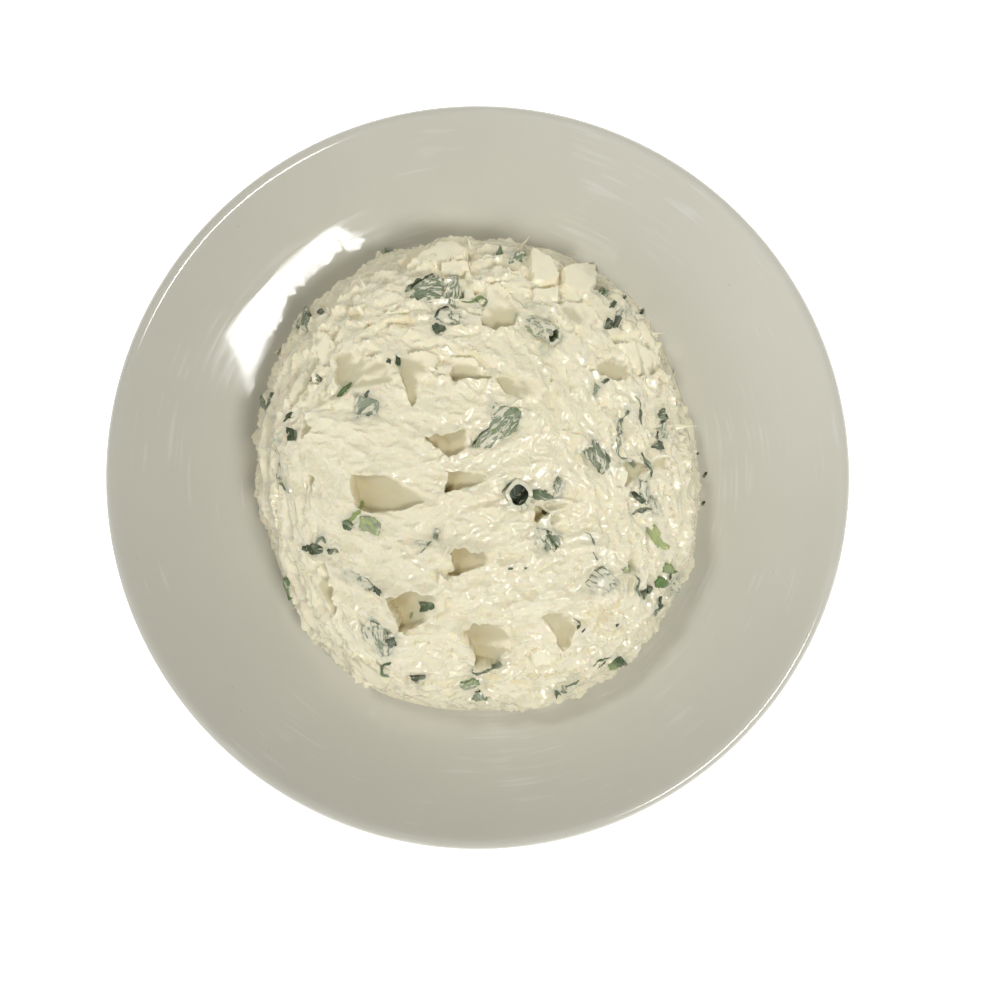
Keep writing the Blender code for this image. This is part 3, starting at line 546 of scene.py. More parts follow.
# Tips: how fast they thin out and the radius of their end; how far they rise and reach as
# shares of their length, how deep they are rooted, how their bend grows along them, how far they
# sway, in millimetres, and how flat they are
TIP_TAPER, TIP_END = 1.7, 0.06
TIP_RISE, TIP_REACH = 0.45, 0.7
TIP_ROOT = 0.8
TIP_BEND = 1.3
TIP_SWAY = 0.5
TIP_FLATNESS = 1.3

# Tubes that point up this much or more, in degrees, are empty to this depth
OPEN_TILT = 50
TUBE_HOLLOW = 4 * MM

# Flakes: the steps of their outline and across them, how far one may stretch where it lies
# steeply, and how far it may rise or sink from its middle to follow the cheese
FLAKE_STEPS = (48, 12)
FLAKE_STRETCH = 1.7
FLAKE_SLACK = 1.5

# Their ragged outline: waves round it and each one's share of the radius; how much they slant,
# ripple and dip under the cheese at places of their edge, and how round the edge is
FLAKE_WAVES = ((3, 0.1, 1.7), (9, 0.12, 2.9))
FLAKE_SLANT = 0.14
FLAKE_RIPPLE = 0.08
FLAKE_DIP = 3.0
FLAKE_ROUNDNESS = 0.35

# Tubes: the steps round and along them, how ragged their open end is in coarse and in fine
# waves, how much they swell by ripples, by waves and inside by tears, as shares of their radius,
# and how flat they are pressed
TUBE_STEPS = (36, 9)
TUBE_RAGGED = (0.6, 0.35)
TUBE_RIPPLE, TUBE_WAVE, TUBE_TEAR = 0.16, 0.14, 0.12
TUBE_SQUASH = (1.05, 0.95)

# Leaf edges, in millimetres: the length of a step, how far they sway and over what length, how
# high they stand over the cheese for their thickness, and how deep they go
RIBBON_STEP = 0.5
RIBBON_SWAY, RIBBON_SWAY_LENGTH = 0.4, 1.6
RIBBON_RISE = 0.35
RIBBON_DEPTH = 1.2

# The tone of a crumb of leaf, which has dried dark
CRUMB_TONE = -0.2

SEED = 11


# Settings


def linear(code):
    """A hex colour as it looks on a screen, turned into the linear values of a shader."""
    shown = [int(code[i : i + 2], 16) / 255 for i in (1, 3, 5)]
    return [c / 12.92 if c <= 0.04045 else ((c + 0.055) / 1.055) ** 2.4 for c in shown]


def colour_property(name, description, code):
    """A colour that a user may change, from its hex code."""
    return FloatVectorProperty(
        name=name,
        description=description,
        subtype="COLOR",
        size=3,
        min=0.0,
        max=1.0,
        default=linear(code),
    )


def length_property(name, description, default):
    """A length that a user may change, in metres."""
    return FloatProperty(
        name=name,
        description=description,
        default=default,
        min=0.0,
        unit="LENGTH",
    )


class PlateSettings(bpy.types.PropertyGroup):
    """Sizes and colours of the plate"""

    floor: length_property("Floor", "Height of the plate's flat middle", 6.5 * MM)
    well: length_property("Well", "Radius of the flat middle", 42 * MM)
    lip: length_property("Lip", "Radius of the rounded edge", 2.0 * MM)
    segments: IntProperty(
        name="Segments", description="Steps of the turned shape", default=288, min=24
    )
    glaze: colour_property("Glaze", "Colour of the glazed body", "#CFCDBF")
    bare: colour_property("Bare clay", "Colour of the unglazed foot", "#CFC6B0")
    pinhole: colour_property("Pinholes", "Colour of the iron pinholes", "#615545")
    # The arcs' white is partly the cloth's film and partly a painted glint on it
    wiped_glint: colour_property("Wiped arcs", "Colour where a cloth left a film", "#E7E7E3")


class CheeseSettings(bpy.types.PropertyGroup):
    """Sizes and colours of the mound"""

    radius: length_property("Radius", "Radius of the mound at its foot", 64 * MM)
    height: length_property("Height", "Height over the plate's floor", 48 * MM)
    fullness: FloatProperty(
        name="Fullness", description="2 is a round dome, more is squarer", default=2.35, min=1.5
    )
    rings: IntProperty(
        name="Rings", description="Rings of triangles from top to foot", default=178, min=8
    )
    curd: colour_property("Curd", "Colour of the cheese", "#F9F0D2")
    # Painted shade: the darker colour of faces that lie below the rest
    spread: colour_property("Spread", "Colour of a face that a blade left", "#D4CCAA")
    # Painted shade: the tan of the lowest parts of a cut
    deep_shade: colour_property("Deep", "Colour of the moist cheese inside a cut", "#CDBE92")
    stain: colour_property("Stain", "Colour over onion that lies just below", "#B9BFA8")


class OnionSettings(bpy.types.PropertyGroup):
    """Thickness and colours of the chopped onion"""

    wall: length_property("Wall", "Thickness of leaf and stalk", 0.5 * MM)
    # Its darkest tones are also painted inside the hollow of a tube, as painted shade
    edge: colour_property("Edge", "Cut edge of the dark leaf", "#2B3220")
    dark: colour_property("Dark leaf", "Outside of the dark leaf", "#48523C")
    green: colour_property("Green leaf", "Middle of the leaf", "#5A7B36")
    pale: colour_property("Pale stalk", "Pale part near the root", "#B5C07C")
    veil: colour_property("Veil", "Leaf under a thin film of cheese", "#949D84")
    film: colour_property("Film", "Strands of cheese on the leaf", "#DFDBC2")


class StageSettings(bpy.types.PropertyGroup):
    """Camera, floor and lights"""

    focal: FloatProperty(
        name="Focal length", description="Camera lens", default=57.0, min=1.0, unit="CAMERA"
    )
    floor: colour_property("Floor", "Colour of the studio floor", "#FBFBF9")
    window: FloatProperty(name="Window", description="Power of the window's light", default=7.8)
    lamp: FloatProperty(name="Lamp", description="Power of the lamp opposite", default=20.0)
    floor_light: FloatProperty(name="Floor light", description="Light from the floor", default=0.9)
    wall: FloatProperty(name="Wall", description="Brightness of the lit wall", default=1.12)
    walls: FloatProperty(name="Walls", description="Brightness of the other walls", default=0.74)
    fill: FloatProperty(name="Fill", description="Strength of the room's light", default=0.01)


# Nodes, objects and patterns


def add_node(tree, kind, inputs=None, **settings):
    """Adds a node with its settings. inputs gives each socket a value, or the socket or the node
    that it follows."""
    made = tree.nodes.new(kind)
    for name, value in settings.items():
        setattr(made, name, value)
    for name, value in (inputs or {}).items():
        if isinstance(value, bpy.types.Node):
            value = next(socket for socket in value.outputs if socket.enabled)
        if isinstance(value, bpy.types.NodeSocket):
            tree.links.new(value, made.inputs[name])
        else:
            made.inputs[name].default_value = value
    return made


def new_material(name):
    """An empty material and its node tree."""
    made = bpy.data.materials.new(name)
    made.use_nodes = True
    made.node_tree.nodes.clear()
    return made, made.node_tree


def shade_with(tree, inputs):
    """Ends a material's nodes with its shader."""
    shader = add_node(tree, "ShaderNodeBsdfPrincipled", inputs)
    add_node(tree, "ShaderNodeOutputMaterial", {"Surface": shader})


def per_metre(size_mm):
    """The scale of a pattern whose features are this many millimetres across."""
    return 1 / (size_mm * MM)


def object_from(name, shape, finishes):
    """Makes a mesh object of a bmesh."""
    mesh = bpy.data.meshes.new(name)
    shape.to_mesh(mesh)
    shape.free()
    made = bpy.data.objects.new(name, mesh)
    for finish in finishes:
        mesh.materials.append(finish)
    bpy.context.scene.collection.objects.link(made)
    return made


def piece_from(name, shape, finishes, node, crease=CREASE):
    """Makes a smooth piece with crisp creases, hangs it on the root body and hides the CAD part it
    stands for.
    """
    for face in shape.faces:
        face.smooth = True
    made = object_from(name, shape, finishes)
    made.data.set_sharp_from_angle(angle=math.radians(crease))
    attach(made, "root")
    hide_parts(node)


def turn_line(shape, points, axis, steps, gap):
    """Turns a line of points once round an axis through the origin, and merges what meets."""
    line = [shape.verts.new(point) for point in points]
    edges = [shape.edges.new(pair) for pair in zip(line, line[1:])]
    bmesh.ops.spin(
        shape,
        geom=line + edges,
        cent=(0, 0, 0),
        axis=axis,
        angle=2 * math.pi,
        steps=steps,
        use_merge=True,
        use_duplicate=False,
    )
    bmesh.ops.remove_doubles(shape, verts=shape.verts, dist=gap)


def smooth_step(low, high, value):
    """How far a value has come from low to high, eased at both ends, from 0 to 1."""
    share = np.clip((value - low) / (high - low), 0.0, 1.0)
    return share * share * (3 - 2 * share)


def bend_row(u, v, stiffness=1):
    """The terms of a bent face at a place on it."""
    return (1, u, v, u * u / stiffness, u * v / stiffness, v * v / stiffness)


def direction(azimuth, elevation):
    """A direction from its degrees round from +X and up from level."""
    turn, rise = math.radians(azimuth), math.radians(elevation)
    level = math.cos(rise)
    return Vector((level * math.cos(turn), level * math.sin(turn), math.sin(rise)))


def noise_at(points):
    """Smooth noise at each point, with features about one unit across."""
    return np.array([noise.noise(point) for point in points.tolist()])


def noise_of(*axes, seed=0.0):
    """Smooth noise of one or two coordinates, each already divided by its feature size."""
    columns = list(axes) + [np.full_like(axes[0], seed)] * (3 - len(axes))
    return noise_at(np.stack(columns, 1) + (seed * 1.7, seed * 0.9, seed * 2.3))


# Plate


def plate_top(radius):
    """Height of the plate's upper face at a distance from its axis."""
    plate = bpy.context.scene.cream_plate
    inner_edge = PLATE_RADIUS - LIP_WIDTH * plate.lip
    rise = PLATE_HEIGHT - LIP_DROP * plate.lip - plate.floor
    share = np.clip((radius - plate.well) / (inner_edge - plate.well), 0, None)
    return plate.floor + rise * share**WALL_RISE_POWER


def plate_section(plate):
    """Half section of the plate, from the middle of its face over the lip to its underside."""
    inner_edge = PLATE_RADIUS - LIP_WIDTH * plate.lip
    upper = [(0.0, plate.floor), (plate.well * 0.5, plate.floor)]
    for share in np.linspace(0, 1, 40):
        radius = plate.well + (inner_edge - plate.well) * share
        upper.append((float(radius), float(plate_top(radius))))
    x, z = PLATE_RADIUS - plate.lip, PLATE_HEIGHT - plate.lip
    lip = []
    for angle in np.radians(np.linspace(*LIP_ARC, 20)):
        lip.append((x + plate.lip * math.cos(angle), z + plate.lip * math.sin(angle)))
    lower = []
    outer = PLATE_RADIUS - 3 * MM
    inner = FOOT_OUTER_RADIUS + 2 * MM
    for share in np.linspace(0, 1, 24):
        radius = outer - (outer - inner) * share
        lower.append((float(radius), max(float(plate_top(radius)) - WALL_THICKNESS, FOOT_HEIGHT)))
    foot_inner = FOOT_OUTER_RADIUS - FOOT_WIDTH
    foot = [
        (FOOT_OUTER_RADIUS + 0.6 * MM, 1.2 * MM),
        (FOOT_OUTER_RADIUS, 0.5 * MM),
        (FOOT_OUTER_RADIUS - 0.6 * MM, 0.0),
        (foot_inner + 0.6 * MM, 0.0),
        (foot_inner, 0.5 * MM),
        (foot_inner - 1.0 * MM, FOOT_HEIGHT - 0.4 * MM),
        (foot_inner - 1.8 * MM, FOOT_HEIGHT),
        (0.0, FOOT_HEIGHT),
    ]
    return upper + lip + lower + foot


def glazed_stoneware(plate):
    """Glazed stoneware: a thick clear glaze over a pale grey-buff body, smooth as glass, with a
    few iron pinholes, and faint arcs where a cloth has rubbed it round: the film it left is rougher,
    and its white is partly the film and partly a painted glint on it."""
    made, tree = new_material("glazed_stoneware")
    place = add_node(tree, "ShaderNodeTexCoord").outputs["Object"]
    out = add_node(tree, "ShaderNodeVectorMath", {0: place}, operation="LENGTH")
    out = add_node(tree, "ShaderNodeCombineXYZ", {"Z": out})
    round_it = add_node(
        tree,
        "ShaderNodeVectorMath",
        {0: place, 1: (0.05, 0.05, 0.0), 2: out},
        operation="MULTIPLY_ADD",
    )
    patterns = ((place, 35, 3.0), (place, 22, 2.0), (round_it, 1.1, 2.0))
    cloud, rubbed, wiped_glint = (
        add_node(
            tree, "ShaderNodeTexNoise", {"Vector": way, "Scale": per_metre(size), "Detail": detail}
        )
        for way, size, detail in patterns
    )
    dots = add_node(tree, "ShaderNodeTexVoronoi", {"Vector": place, "Scale": per_metre(9.0)})
    smear = add_node(tree, "ShaderNodeMath", {0: wiped_glint, 1: rubbed}, operation="ADD")
    ranges = (
        (dots, 0.018, 0.03, 0.35, 0.0),
        (smear, 0.95, 1.3, 0.03, 0.17),
        (smear, 1.17, 1.35, 0.0, 0.3),
    )
    speck, rough, white = (
        add_node(
            tree,
            "ShaderNodeMapRange",
            {"Value": value, "From Min": low, "From Max": high, "To Min": first, "To Max": last},
        )
        for value, low, high, first, last in ranges
    )
    colour = (*[c * 0.96 for c in plate.glaze], 1)
    lighter = [min(c * 1.04, 1) for c in plate.glaze]
    # Cloud and pinholes are the glaze's own tone; the white arcs are partly film and partly a
    # painted glint
    for share, tint in ((cloud, lighter), (speck, plate.pinhole), (white, plate.wiped_glint)):
        colour = add_node(
            tree,
            "ShaderNodeMix",
            {"Factor": share, "A": colour, "B": (*tint, 1)},
            data_type="RGBA",
        )
    shade_with(tree, {"Base Color": colour, "Roughness": rough, "IOR": 1.52})
    return made


def bare_clay(plate):
    """Fired clay without glaze: matt and finely gritty, where the foot was wiped before firing."""
    made, tree = new_material("bare_fired_clay")
    place = add_node(tree, "ShaderNodeTexCoord").outputs["Object"]
    grit = add_node(
        tree, "ShaderNodeTexNoise", {"Vector": place, "Scale": per_metre(0.6), "Detail": 2.0}
    )
    bump = add_node(
        tree, "ShaderNodeBump", {"Height": grit, "Strength": 0.4, "Distance": 0.1 * MM}
    )
    shade_with(tree, {"Base Color": (*plate.bare, 1), "Roughness": 0.85, "Normal": bump})
    return made


class CREAM_OT_plate(bpy.types.Operator):
    """Turn the glazed plate"""

    bl_idname = "cream.plate"
    bl_label = "Plate"

    def execute(self, context):
        plate = context.scene.cream_plate
        shape = bmesh.new()
        points = [(radius, 0, height) for radius, height in plate_section(plate)]
        turn_line(shape, points, (0, 0, 1), plate.segments, 0.005 * MM)
        bmesh.ops.recalc_face_normals(shape, faces=shape.faces)
        bare_height = 0.6 * MM
        for face in shape.faces:
            face.material_index = int(all(vert.co.z < bare_height for vert in face.verts))
        finishes = (glazed_stoneware(plate), bare_clay(plate))
        piece_from("glazed_plate", shape, finishes, "plate")
        return {"FINISHED"}


# Mound


def outline_radius(turn):
    """The mound's radius at its foot, in a direction."""
    waves = (
        height * np.cos(count * (turn - math.radians(peak))) for count, height, peak in OUTLINE_WAVES
    )
    return bpy.context.scene.cream_cheese.radius + sum(waves)


def foot_height(turn):
    """Height at which the mound's edge rests on the plate, in a direction."""
    return plate_top(outline_radius(turn))


def mound_top():
    """Height of the smooth dome's top."""
    scene = bpy.context.scene
    return scene.cream_plate.floor + scene.cream_cheese.height


def hexagon_share(x, y):
    """How far out a point of the hexagon lies, from 0 at its centre to 1 on any side."""
    half = math.sqrt(3) / 2
    across = np.maximum.reduce([abs(x), abs(x / 2 + y * half), abs(x / 2 - y * half)])
    return across / half


def dome_height(x, y):
    """Height of the smooth dome over a point of the plan."""
    power = bpy.context.scene.cream_cheese.fullness
    turn, radius = math.atan2(y, x), math.hypot(x, y)
    foot = float(foot_height(turn))
    share = min(radius / float(outline_radius(turn)), 1.0)
    return foot + (mound_top() - foot) * (1 - share**power) ** (1 / power)


def dome_normals(points):
    """The smooth dome's normals at points that lie on it or near it."""
    power = bpy.context.scene.cream_cheese.fullness
    turn = np.arctan2(points[:, 1], points[:, 0])
    foot = foot_height(turn)
    wide = np.hypot(points[:, 0], points[:, 1])
    flat = wide ** (power - 1) / outline_radius(turn) ** power
    steep = np.maximum(points[:, 2] - foot, 0) ** (power - 1) / (mound_top() - foot) ** power
    normals = np.stack([flat * np.cos(turn), flat * np.sin(turn), steep], 1)
    return normals / np.linalg.norm(normals, axis=1)[:, None]


def seen_at(x, y):
    """The dome's point that is seen at a place of the plan, in millimetres, and its normal."""
    target = Vector((x * MM, y * MM, PLAN_HEIGHT))
    point = target
    for _ in range(30):
        share = (EYE.z - dome_height(point.x, point.y)) / (EYE.z - PLAN_HEIGHT)
        point = EYE + (target - EYE) * share
    point.z = dome_height(point.x, point.y)
    return point, Vector(dome_normals(np.array([point]))[0])


def local_frame(x, y, heading):
    """Place, direction along, direction across and normal of something lying on the dome."""
    place, normal = seen_at(x, y)
    turn = math.radians(heading)
    along = Vector((math.cos(turn), math.sin(turn), 0))
    along = (along - normal * along.dot(normal)).normalized()
    return place, along, normal.cross(along), normal


class Skin:
    """The mound's surface while it is worked: a smooth dome, and how each point has moved."""

    def __init__(self, shape, cheese):
        sheet = np.array([vert.co for vert in shape.verts])
        x, y = sheet[:, 0], sheet[:, 1]
        share = np.clip(hexagon_share(x, y), 0, 1)
        turn = np.arctan2(y, x)
        across, up = np.sin(share * math.pi / 2), np.cos(share * math.pi / 2)
        foot = foot_height(turn)
        power = cheese.fullness
        level, rise = across / outline_radius(turn), up / (mound_top() - foot)
        reach = (level**power + rise**power) ** (-1 / power)
        wide = reach * across
        self.base = np.stack([wide * np.cos(turn), wide * np.sin(turn), foot + reach * up], 1)
        self.normals = dome_normals(self.base)
        seen = (EYE.z - PLAN_HEIGHT) / (EYE.z - self.base[:, 2])
        self.plan = (np.array(EYE.xy) + (self.base[:, :2] - EYE.xy) * seen[:, None]) / MM
        self.foot = foot
        self.raised = np.zeros(len(sheet))
        self.shift = np.zeros_like(self.base)
        self.facet = np.zeros(len(sheet))
        self.sunk_shade = np.zeros(len(sheet))
        self.deep_shade = np.zeros(len(sheet))
        self.free = share < 0.999
        self.edges = np.array([[vert.index for vert in edge.verts] for edge in shape.edges])

    def snap(self, near, gap):
        """Slides points onto the line where the gap changes sign, so that a crease is crisp."""
        found = np.full(len(self.base), np.nan)
        found[near] = gap
        pairs = self.edges[found[self.edges].prod(axis=1) < 0]
        ends = found[pairs]
        share = ends[:, 0] / (ends[:, 0] - ends[:, 1])
        pairs = np.where((share > 0.5)[:, None], pairs[:, ::-1], pairs)
        share = np.minimum(share, 1 - share)
        order = np.argsort(-share)
        order = order[self.free[pairs[order, 0]]]
        moved, toward, share = pairs[order, 0], pairs[order, 1], share[order]
        for field in (self.base, self.normals, self.plan, self.shift):
            field[moved] = field[moved] + share[:, None] * (field[toward] - field[moved])
        for field in (self.foot, self.raised, self.facet, self.sunk_shade, self.deep_shade):
            field[moved] = field[moved] + share * (field[toward] - field[moved])

    def worked(self):
        """Where each point has ended up."""
        hold = smooth_step(0, 3 * MM, self.base[:, 2] - self.foot)
        moved = self.base + (self.normals * self.raised[:, None] + self.shift) * hold[:, None]
        moved[:, 2] = np.maximum(moved[:, 2], self.foot)
        return moved


def broad_height(points):
    """Height of the broad lumps left by the spatula, and of the long ridges on them."""
    x, y, z = (points / MM).T
    broad = noise_at(points / LUMPS_WIDTH + (4.2, 1.7, 0.3))
    around = np.arctan2(y, x) * LUMPS_RADIUS
    low = np.clip((np.hypot(x, y) / LUMPS_RADIUS - 0.55) / 0.3, 0, 1)
    ringed = np.stack([around / RIDGES_LENGTH, z / RIDGES_WIDTH, np.full_like(x, 3.0)], 1)
    crossed = np.stack([x / RIDGES_LENGTH, y / RIDGES_WIDTH, np.full_like(x, 7.0)], 1)
    ridges = low * noise_at(ringed) + (1 - low) * noise_at(crossed)
    return (LUMPS_HEIGHT * broad + RIDGES_HEIGHT * ridges) * MM


def in_surface(ways, normals):
    """Directions at points of the surface, without their part across it."""
    return ways - normals * (ways * normals).sum(axis=1)[:, None]


def close_to(skin, outline, margin):
    """Which points of the surface lie within a margin of an outline in plan, in millimetres."""
    middle = outline.mean(axis=0)
    reach = np.hypot(*(outline - middle).T).max() + margin
    return np.hypot(*(skin.plan - middle).T) < reach


def spatula_way(skin):
    """Which way the spatula went at each point, and how rough it left the cheese: along the
    grain over the top, and around the mound on its sides."""
    lean = np.zeros((len(skin.plan), 2))
    rough = np.zeros(len(skin.plan))
    total = np.zeros(len(skin.plan))
    for grain in GRAINS:
        away = (skin.plan - (grain.x, grain.y)) / GRAIN_REACH
        weight = np.exp(-(away**2).sum(axis=1)) + 1e-9
        turn = 2 * math.radians(grain.heading)
        lean += weight[:, None] * (math.cos(turn), math.sin(turn))
        rough += weight * grain.rough
        total += weight
    heading = np.arctan2(lean[:, 1], lean[:, 0]) / 2
    turn = np.arctan2(skin.base[:, 1], skin.base[:, 0])
    over = np.stack([np.cos(heading), np.sin(heading), 0 * turn], 1)
    around = np.stack([-np.sin(turn), np.cos(turn), 0 * turn], 1)
    around *= np.where((over * around).sum(axis=1) < 0, -1, 1)[:, None]
    low = smooth_step(*SIDE, skin.normals[:, 2])
    way = in_surface(over * (1 - low[:, None]) + around * low[:, None], skin.normals)
    way /= np.linalg.norm(way, axis=1)[:, None]
    return way, (1 - low) * rough / total + low * SIDE_ROUGHNESS


def touch(skin, tree, random, centre, way, rough, kind):
    """One touch of the spatula: a shallow dip, whose rim stands up where it meets the rest."""
    place, normal = skin.base[centre], skin.normals[centre]
    spin = random.gauss(0, TOUCH_TURN)
    along = way * math.cos(spin) + np.cross(normal, way) * math.sin(spin)
    across = np.cross(normal, along)
    size = random.uniform(*TOUCH_SIZES)
    half_length = kind.length * size / 2
    half_width = kind.width * size * random.uniform(*TOUCH_WIDTHS) / 2
    near = np.array([index for _, index, _ in tree.find_range(place, half_length * 1.3 * MM)])
    offset = (skin.base[near] - place) / MM
    u, v = offset @ along / half_length, offset @ across / half_width
    turn = np.arctan2(v, u)
    ragged = 1.0
    for waves, share in TOUCH_WAVES:
        ragged = ragged + share * np.cos(waves * turn + random.uniform(0, 6.3))
    far = np.hypot(u, v) / ragged
    inside = far < 1
    if inside.sum() < 6:
        return
    rows = np.stack([np.ones_like(u), u, v], 1)
    level = np.linalg.lstsq(rows[inside], skin.raised[near[inside]], rcond=None)[0]
    dip = kind.depth * rough * random.uniform(*TOUCH_DEPTHS) * MM
    side = random.choice((-1, 1, 1))
    bowl = BOWL_ACROSS * v * v + BOWL_ALONG * u * u - BOWL_MIDDLE
    made = rows @ level + dip * (bowl + kind.tilt * side * v)
    weight = 1 - smooth_step(TOUCH_SOFT_EDGE, 1.0, far)
    skin.raised[near] += weight * (made - skin.raised[near])


def work_over(skin):
    """Works the whole surface with the spatula, touch by touch. The soft crests sink a little."""
    random = Random(SEED)
    tree = KDTree(len(skin.base))
    for index, place in enumerate(skin.base.tolist()):
        tree.insert(place, index)
    tree.balance()
    way, rough = spatula_way(skin)
    for kind in TOUCHES:
        for _ in range(kind.count):
            centre = random.randrange(len(skin.base))
            touch(skin, tree, random, centre, way[centre], rough[centre], kind)
    total, count = np.zeros(len(skin.base)), np.zeros(len(skin.base))
    for point, beside in (skin.edges.T, skin.edges.T[::-1]):
        np.add.at(total, point, skin.raised[beside])
        np.add.at(count, point, 1)
    soft = 0.25 + 0.3 * smooth_step(*SIDE, skin.normals[:, 2])
    skin.raised += soft * (total / count - skin.raised)


def nearest_on(points, start, end):
    """Distance of plan points from a line of segments, and the nearest segment of each."""
    way = end - start
    offset = points[:, None] - start
    share = np.clip((offset * way).sum(axis=2) / (way**2).sum(axis=1), 0, 1)
    gap = offset - share[..., None] * way
    far = np.hypot(gap[..., 0], gap[..., 1])
    return far.min(axis=1), far.argmin(axis=1)


def outline_gap(points, corners):
    """Distance of plan points from a closed outline, less than 0 inside it, and the direction
    into it across its nearest side."""
    end = np.roll(corners, -1, axis=0)
    way = end - corners
    far, side = nearest_on(points, corners, end)
    x, y = points[:, 0, None], points[:, 1, None]
    crossed = (corners[:, 1] > y) != (end[:, 1] > y)
    slope = np.where(way[:, 1] == 0, 1e-9, way[:, 1])
    crossed &= x < corners[:, 0] + way[:, 0] * (y - corners[:, 1]) / slope
    inside = crossed.sum(axis=1) % 2 == 1
    turned = np.sign((corners[:, 0] * end[:, 1] - corners[:, 1] * end[:, 0]).sum())
    inward = np.stack([-way[:, 1], way[:, 0]], 1) * turned
    inward /= np.linalg.norm(inward, axis=1)[:, None]
    return np.where(inside, -far, far), inward[side]


def facet_face(facet, frame):
    """The face of a facet in its own frame: a plane through its corners, bent a little."""
    place, along, across, normal = frame
    rows, heights = [], []
    for x, y, height in facet.corners:
        point, facing = (np.array(v) for v in seen_at(x, y))
        point = point + facing * (height * MM + broad_height(point[None])[0])
        u, v, w = ((point - place) @ axis / MM for axis in (along, across, normal))
        rows.append(bend_row(u, v, FACET_STIFFNESS))
        heights.append(w)
    steady = np.diag((0, 0, 0, 2.0, 2.0, 2.0))[3:]
    rows, heights = np.vstack([rows, steady]), heights + [0, 0, 0]
    return np.linalg.lstsq(rows, heights, rcond=None)[0]


def ragged(points, depths, *seeds):
    """How far a torn line strays from its path, in coarse and in fine waves, in millimetres."""
    waves = zip(RAGGED_SIZES, depths, seeds)
    return sum(depth * noise_of(*(points.T / size), seed=seed) for size, depth, seed in waves)


def press_facet(skin, facet, number):
    """Cuts or fills the surface to a facet's face, tears up the lip along the side where it cuts in
    deepest, and maps where its painted shade goes.
    """
    corners = np.array(facet.corners)[:, :2]
    frame = [np.array(v) for v in local_frame(*corners.mean(axis=0), 0)]
    place, along, across, normal = frame
    bent = facet_face(facet, frame)
    near = np.flatnonzero(close_to(skin, corners, 4) & (skin.normals @ normal > 0.3))

    def measure():
        """Distance from the ragged outline, the way into it, and how far the face stands over
        the surface, in millimetres."""
        gap, inward = outline_gap(skin.plan[near], corners)
        gap = gap + ragged(skin.plan[near], FACET_RAGGED, number * 1.9, number * 2.3)
        u, v, w = ((skin.base[near] - place) @ axis / MM for axis in (along, across, normal))
        terms = np.broadcast_arrays(*bend_row(u, v, FACET_STIFFNESS))
        face = np.stack(terms, 1) @ bent
        for height, long, wide, start in FACET_WAVES:
            face = face + height * noise_of(u / long, v / wide, seed=number + start)
        face = face - FACET_HOLLOW * (1 - np.exp(np.minimum(gap, 0) / HOLLOW_REACH))
        facing = np.maximum(skin.normals[near] @ normal, 0.35)
        return gap, inward, (face - w) / facing - skin.raised[near] / MM

    skin.snap(near, measure()[0])
    gap, inward, step = measure()
    within = np.maximum(-gap - 0.05, 0)
    fade = EDGE_WIDTH + EDGE_FADE * np.clip(1 - np.abs(step) / EDGE_STEP, 0, 1)
    weight = smooth_step(0, 1, within / fade)
    skin.raised[near] += weight * step * MM
    skin.facet[near] = np.maximum(skin.facet[near] * (within == 0), weight)
    # Painted shade: a face that lies below the rest gets a darker colour, the more so the further
    # down in the cut
    sunk_shade = weight * smooth_step(*SUNK_STEPS, step)
    skin.sunk_shade[near] = np.where(within > 0, sunk_shade, skin.sunk_shade[near])
    deep_shade = np.clip((-step - DEEP_SHADE_FROM) / DEEP_SHADE_RANGE, 0, 1)
    skin.deep_shade[near] = np.where(within > 0, deep_shade, skin.deep_shade[near])
    outside = np.exp(-(((gap - LIP_CREST) / LIP_REACH) ** 2)) * (within == 0)
    uneven = np.clip(0.7 + 1.1 * noise_of(*(skin.plan[near].T / 2.2), seed=number * 3.1), 0, 1.6)
    torn = facet.lip * outside * uneven * np.clip(-step / LIP_STEP, 0, 1)
    skin.raised[near] += (LIP_RISE * torn - 0.4 * outside * np.clip(step, 0, 1.5)) * MM
    lean = in_surface(np.column_stack([inward, np.zeros(len(near))]), skin.normals[near])
    skin.shift[near] += lean * (LIP_LEAN * torn)[:, None] * MM


def tear_seam(skin, seam, number):
    """Steps the surface along a torn edge, or opens a crack."""
    path = np.array(seam.path)
    near = np.flatnonzero(close_to(skin, path, 5) & (skin.base[:, 2] > skin.foot + 2 * MM))
    start, end = path[:-1], path[1:]
    long = np.hypot(*(end - start).T)
    before = np.cumsum(long) - long

    def measure():
        """Distance from the path, more than 0 on its right, how much of the tear is left so
        near to its ends, and the way it runs."""
        points = skin.plan[near]
        far, side = nearest_on(points, start, end)
        way = (end - start)[side]
        offset = points - start[side]
        right = np.sign(way[:, 1] * offset[:, 0] - way[:, 0] * offset[:, 1])
        share = np.clip((offset * way).sum(axis=1) / (way**2).sum(axis=1), 0, 1)
        run = before[side] + share * long[side]
        kept = smooth_step(0, SEAM_ENDS, np.minimum(run, long.sum() - run))
        stray = ragged(points, SEAM_RAGGED, number * 1.7, number)
        return right * far + stray, kept, way

    gap, kept, way = measure()
    skin.snap(near, np.where((kept > 0) & (abs(gap) < 2), gap, np.nan))
    gap, kept, way = measure()
    if seam.step < 0:
        skin.raised[near] += seam.step * kept * np.exp(-((gap / CRACK_WIDTH) ** 2)) * MM
        return
    beside = gap > -0.04
    rise = seam.step * kept * np.exp(-np.maximum(gap, 0) / SEAM_REACH) * beside
    skin.raised[near] += rise * MM
    under = seam.step * kept * np.exp(gap / UNDERCUT_REACH) * ~beside
    skin.raised[near] -= SEAM_UNDERCUT * under * MM
    lean = np.column_stack([-way[:, 1], way[:, 0], np.zeros(len(near))])
    lean /= np.linalg.norm(lean, axis=1)[:, None]
    lean = in_surface(lean, skin.normals[near])
    skin.shift[near] += lean * (SEAM_LEAN * rise)[:, None] * MM


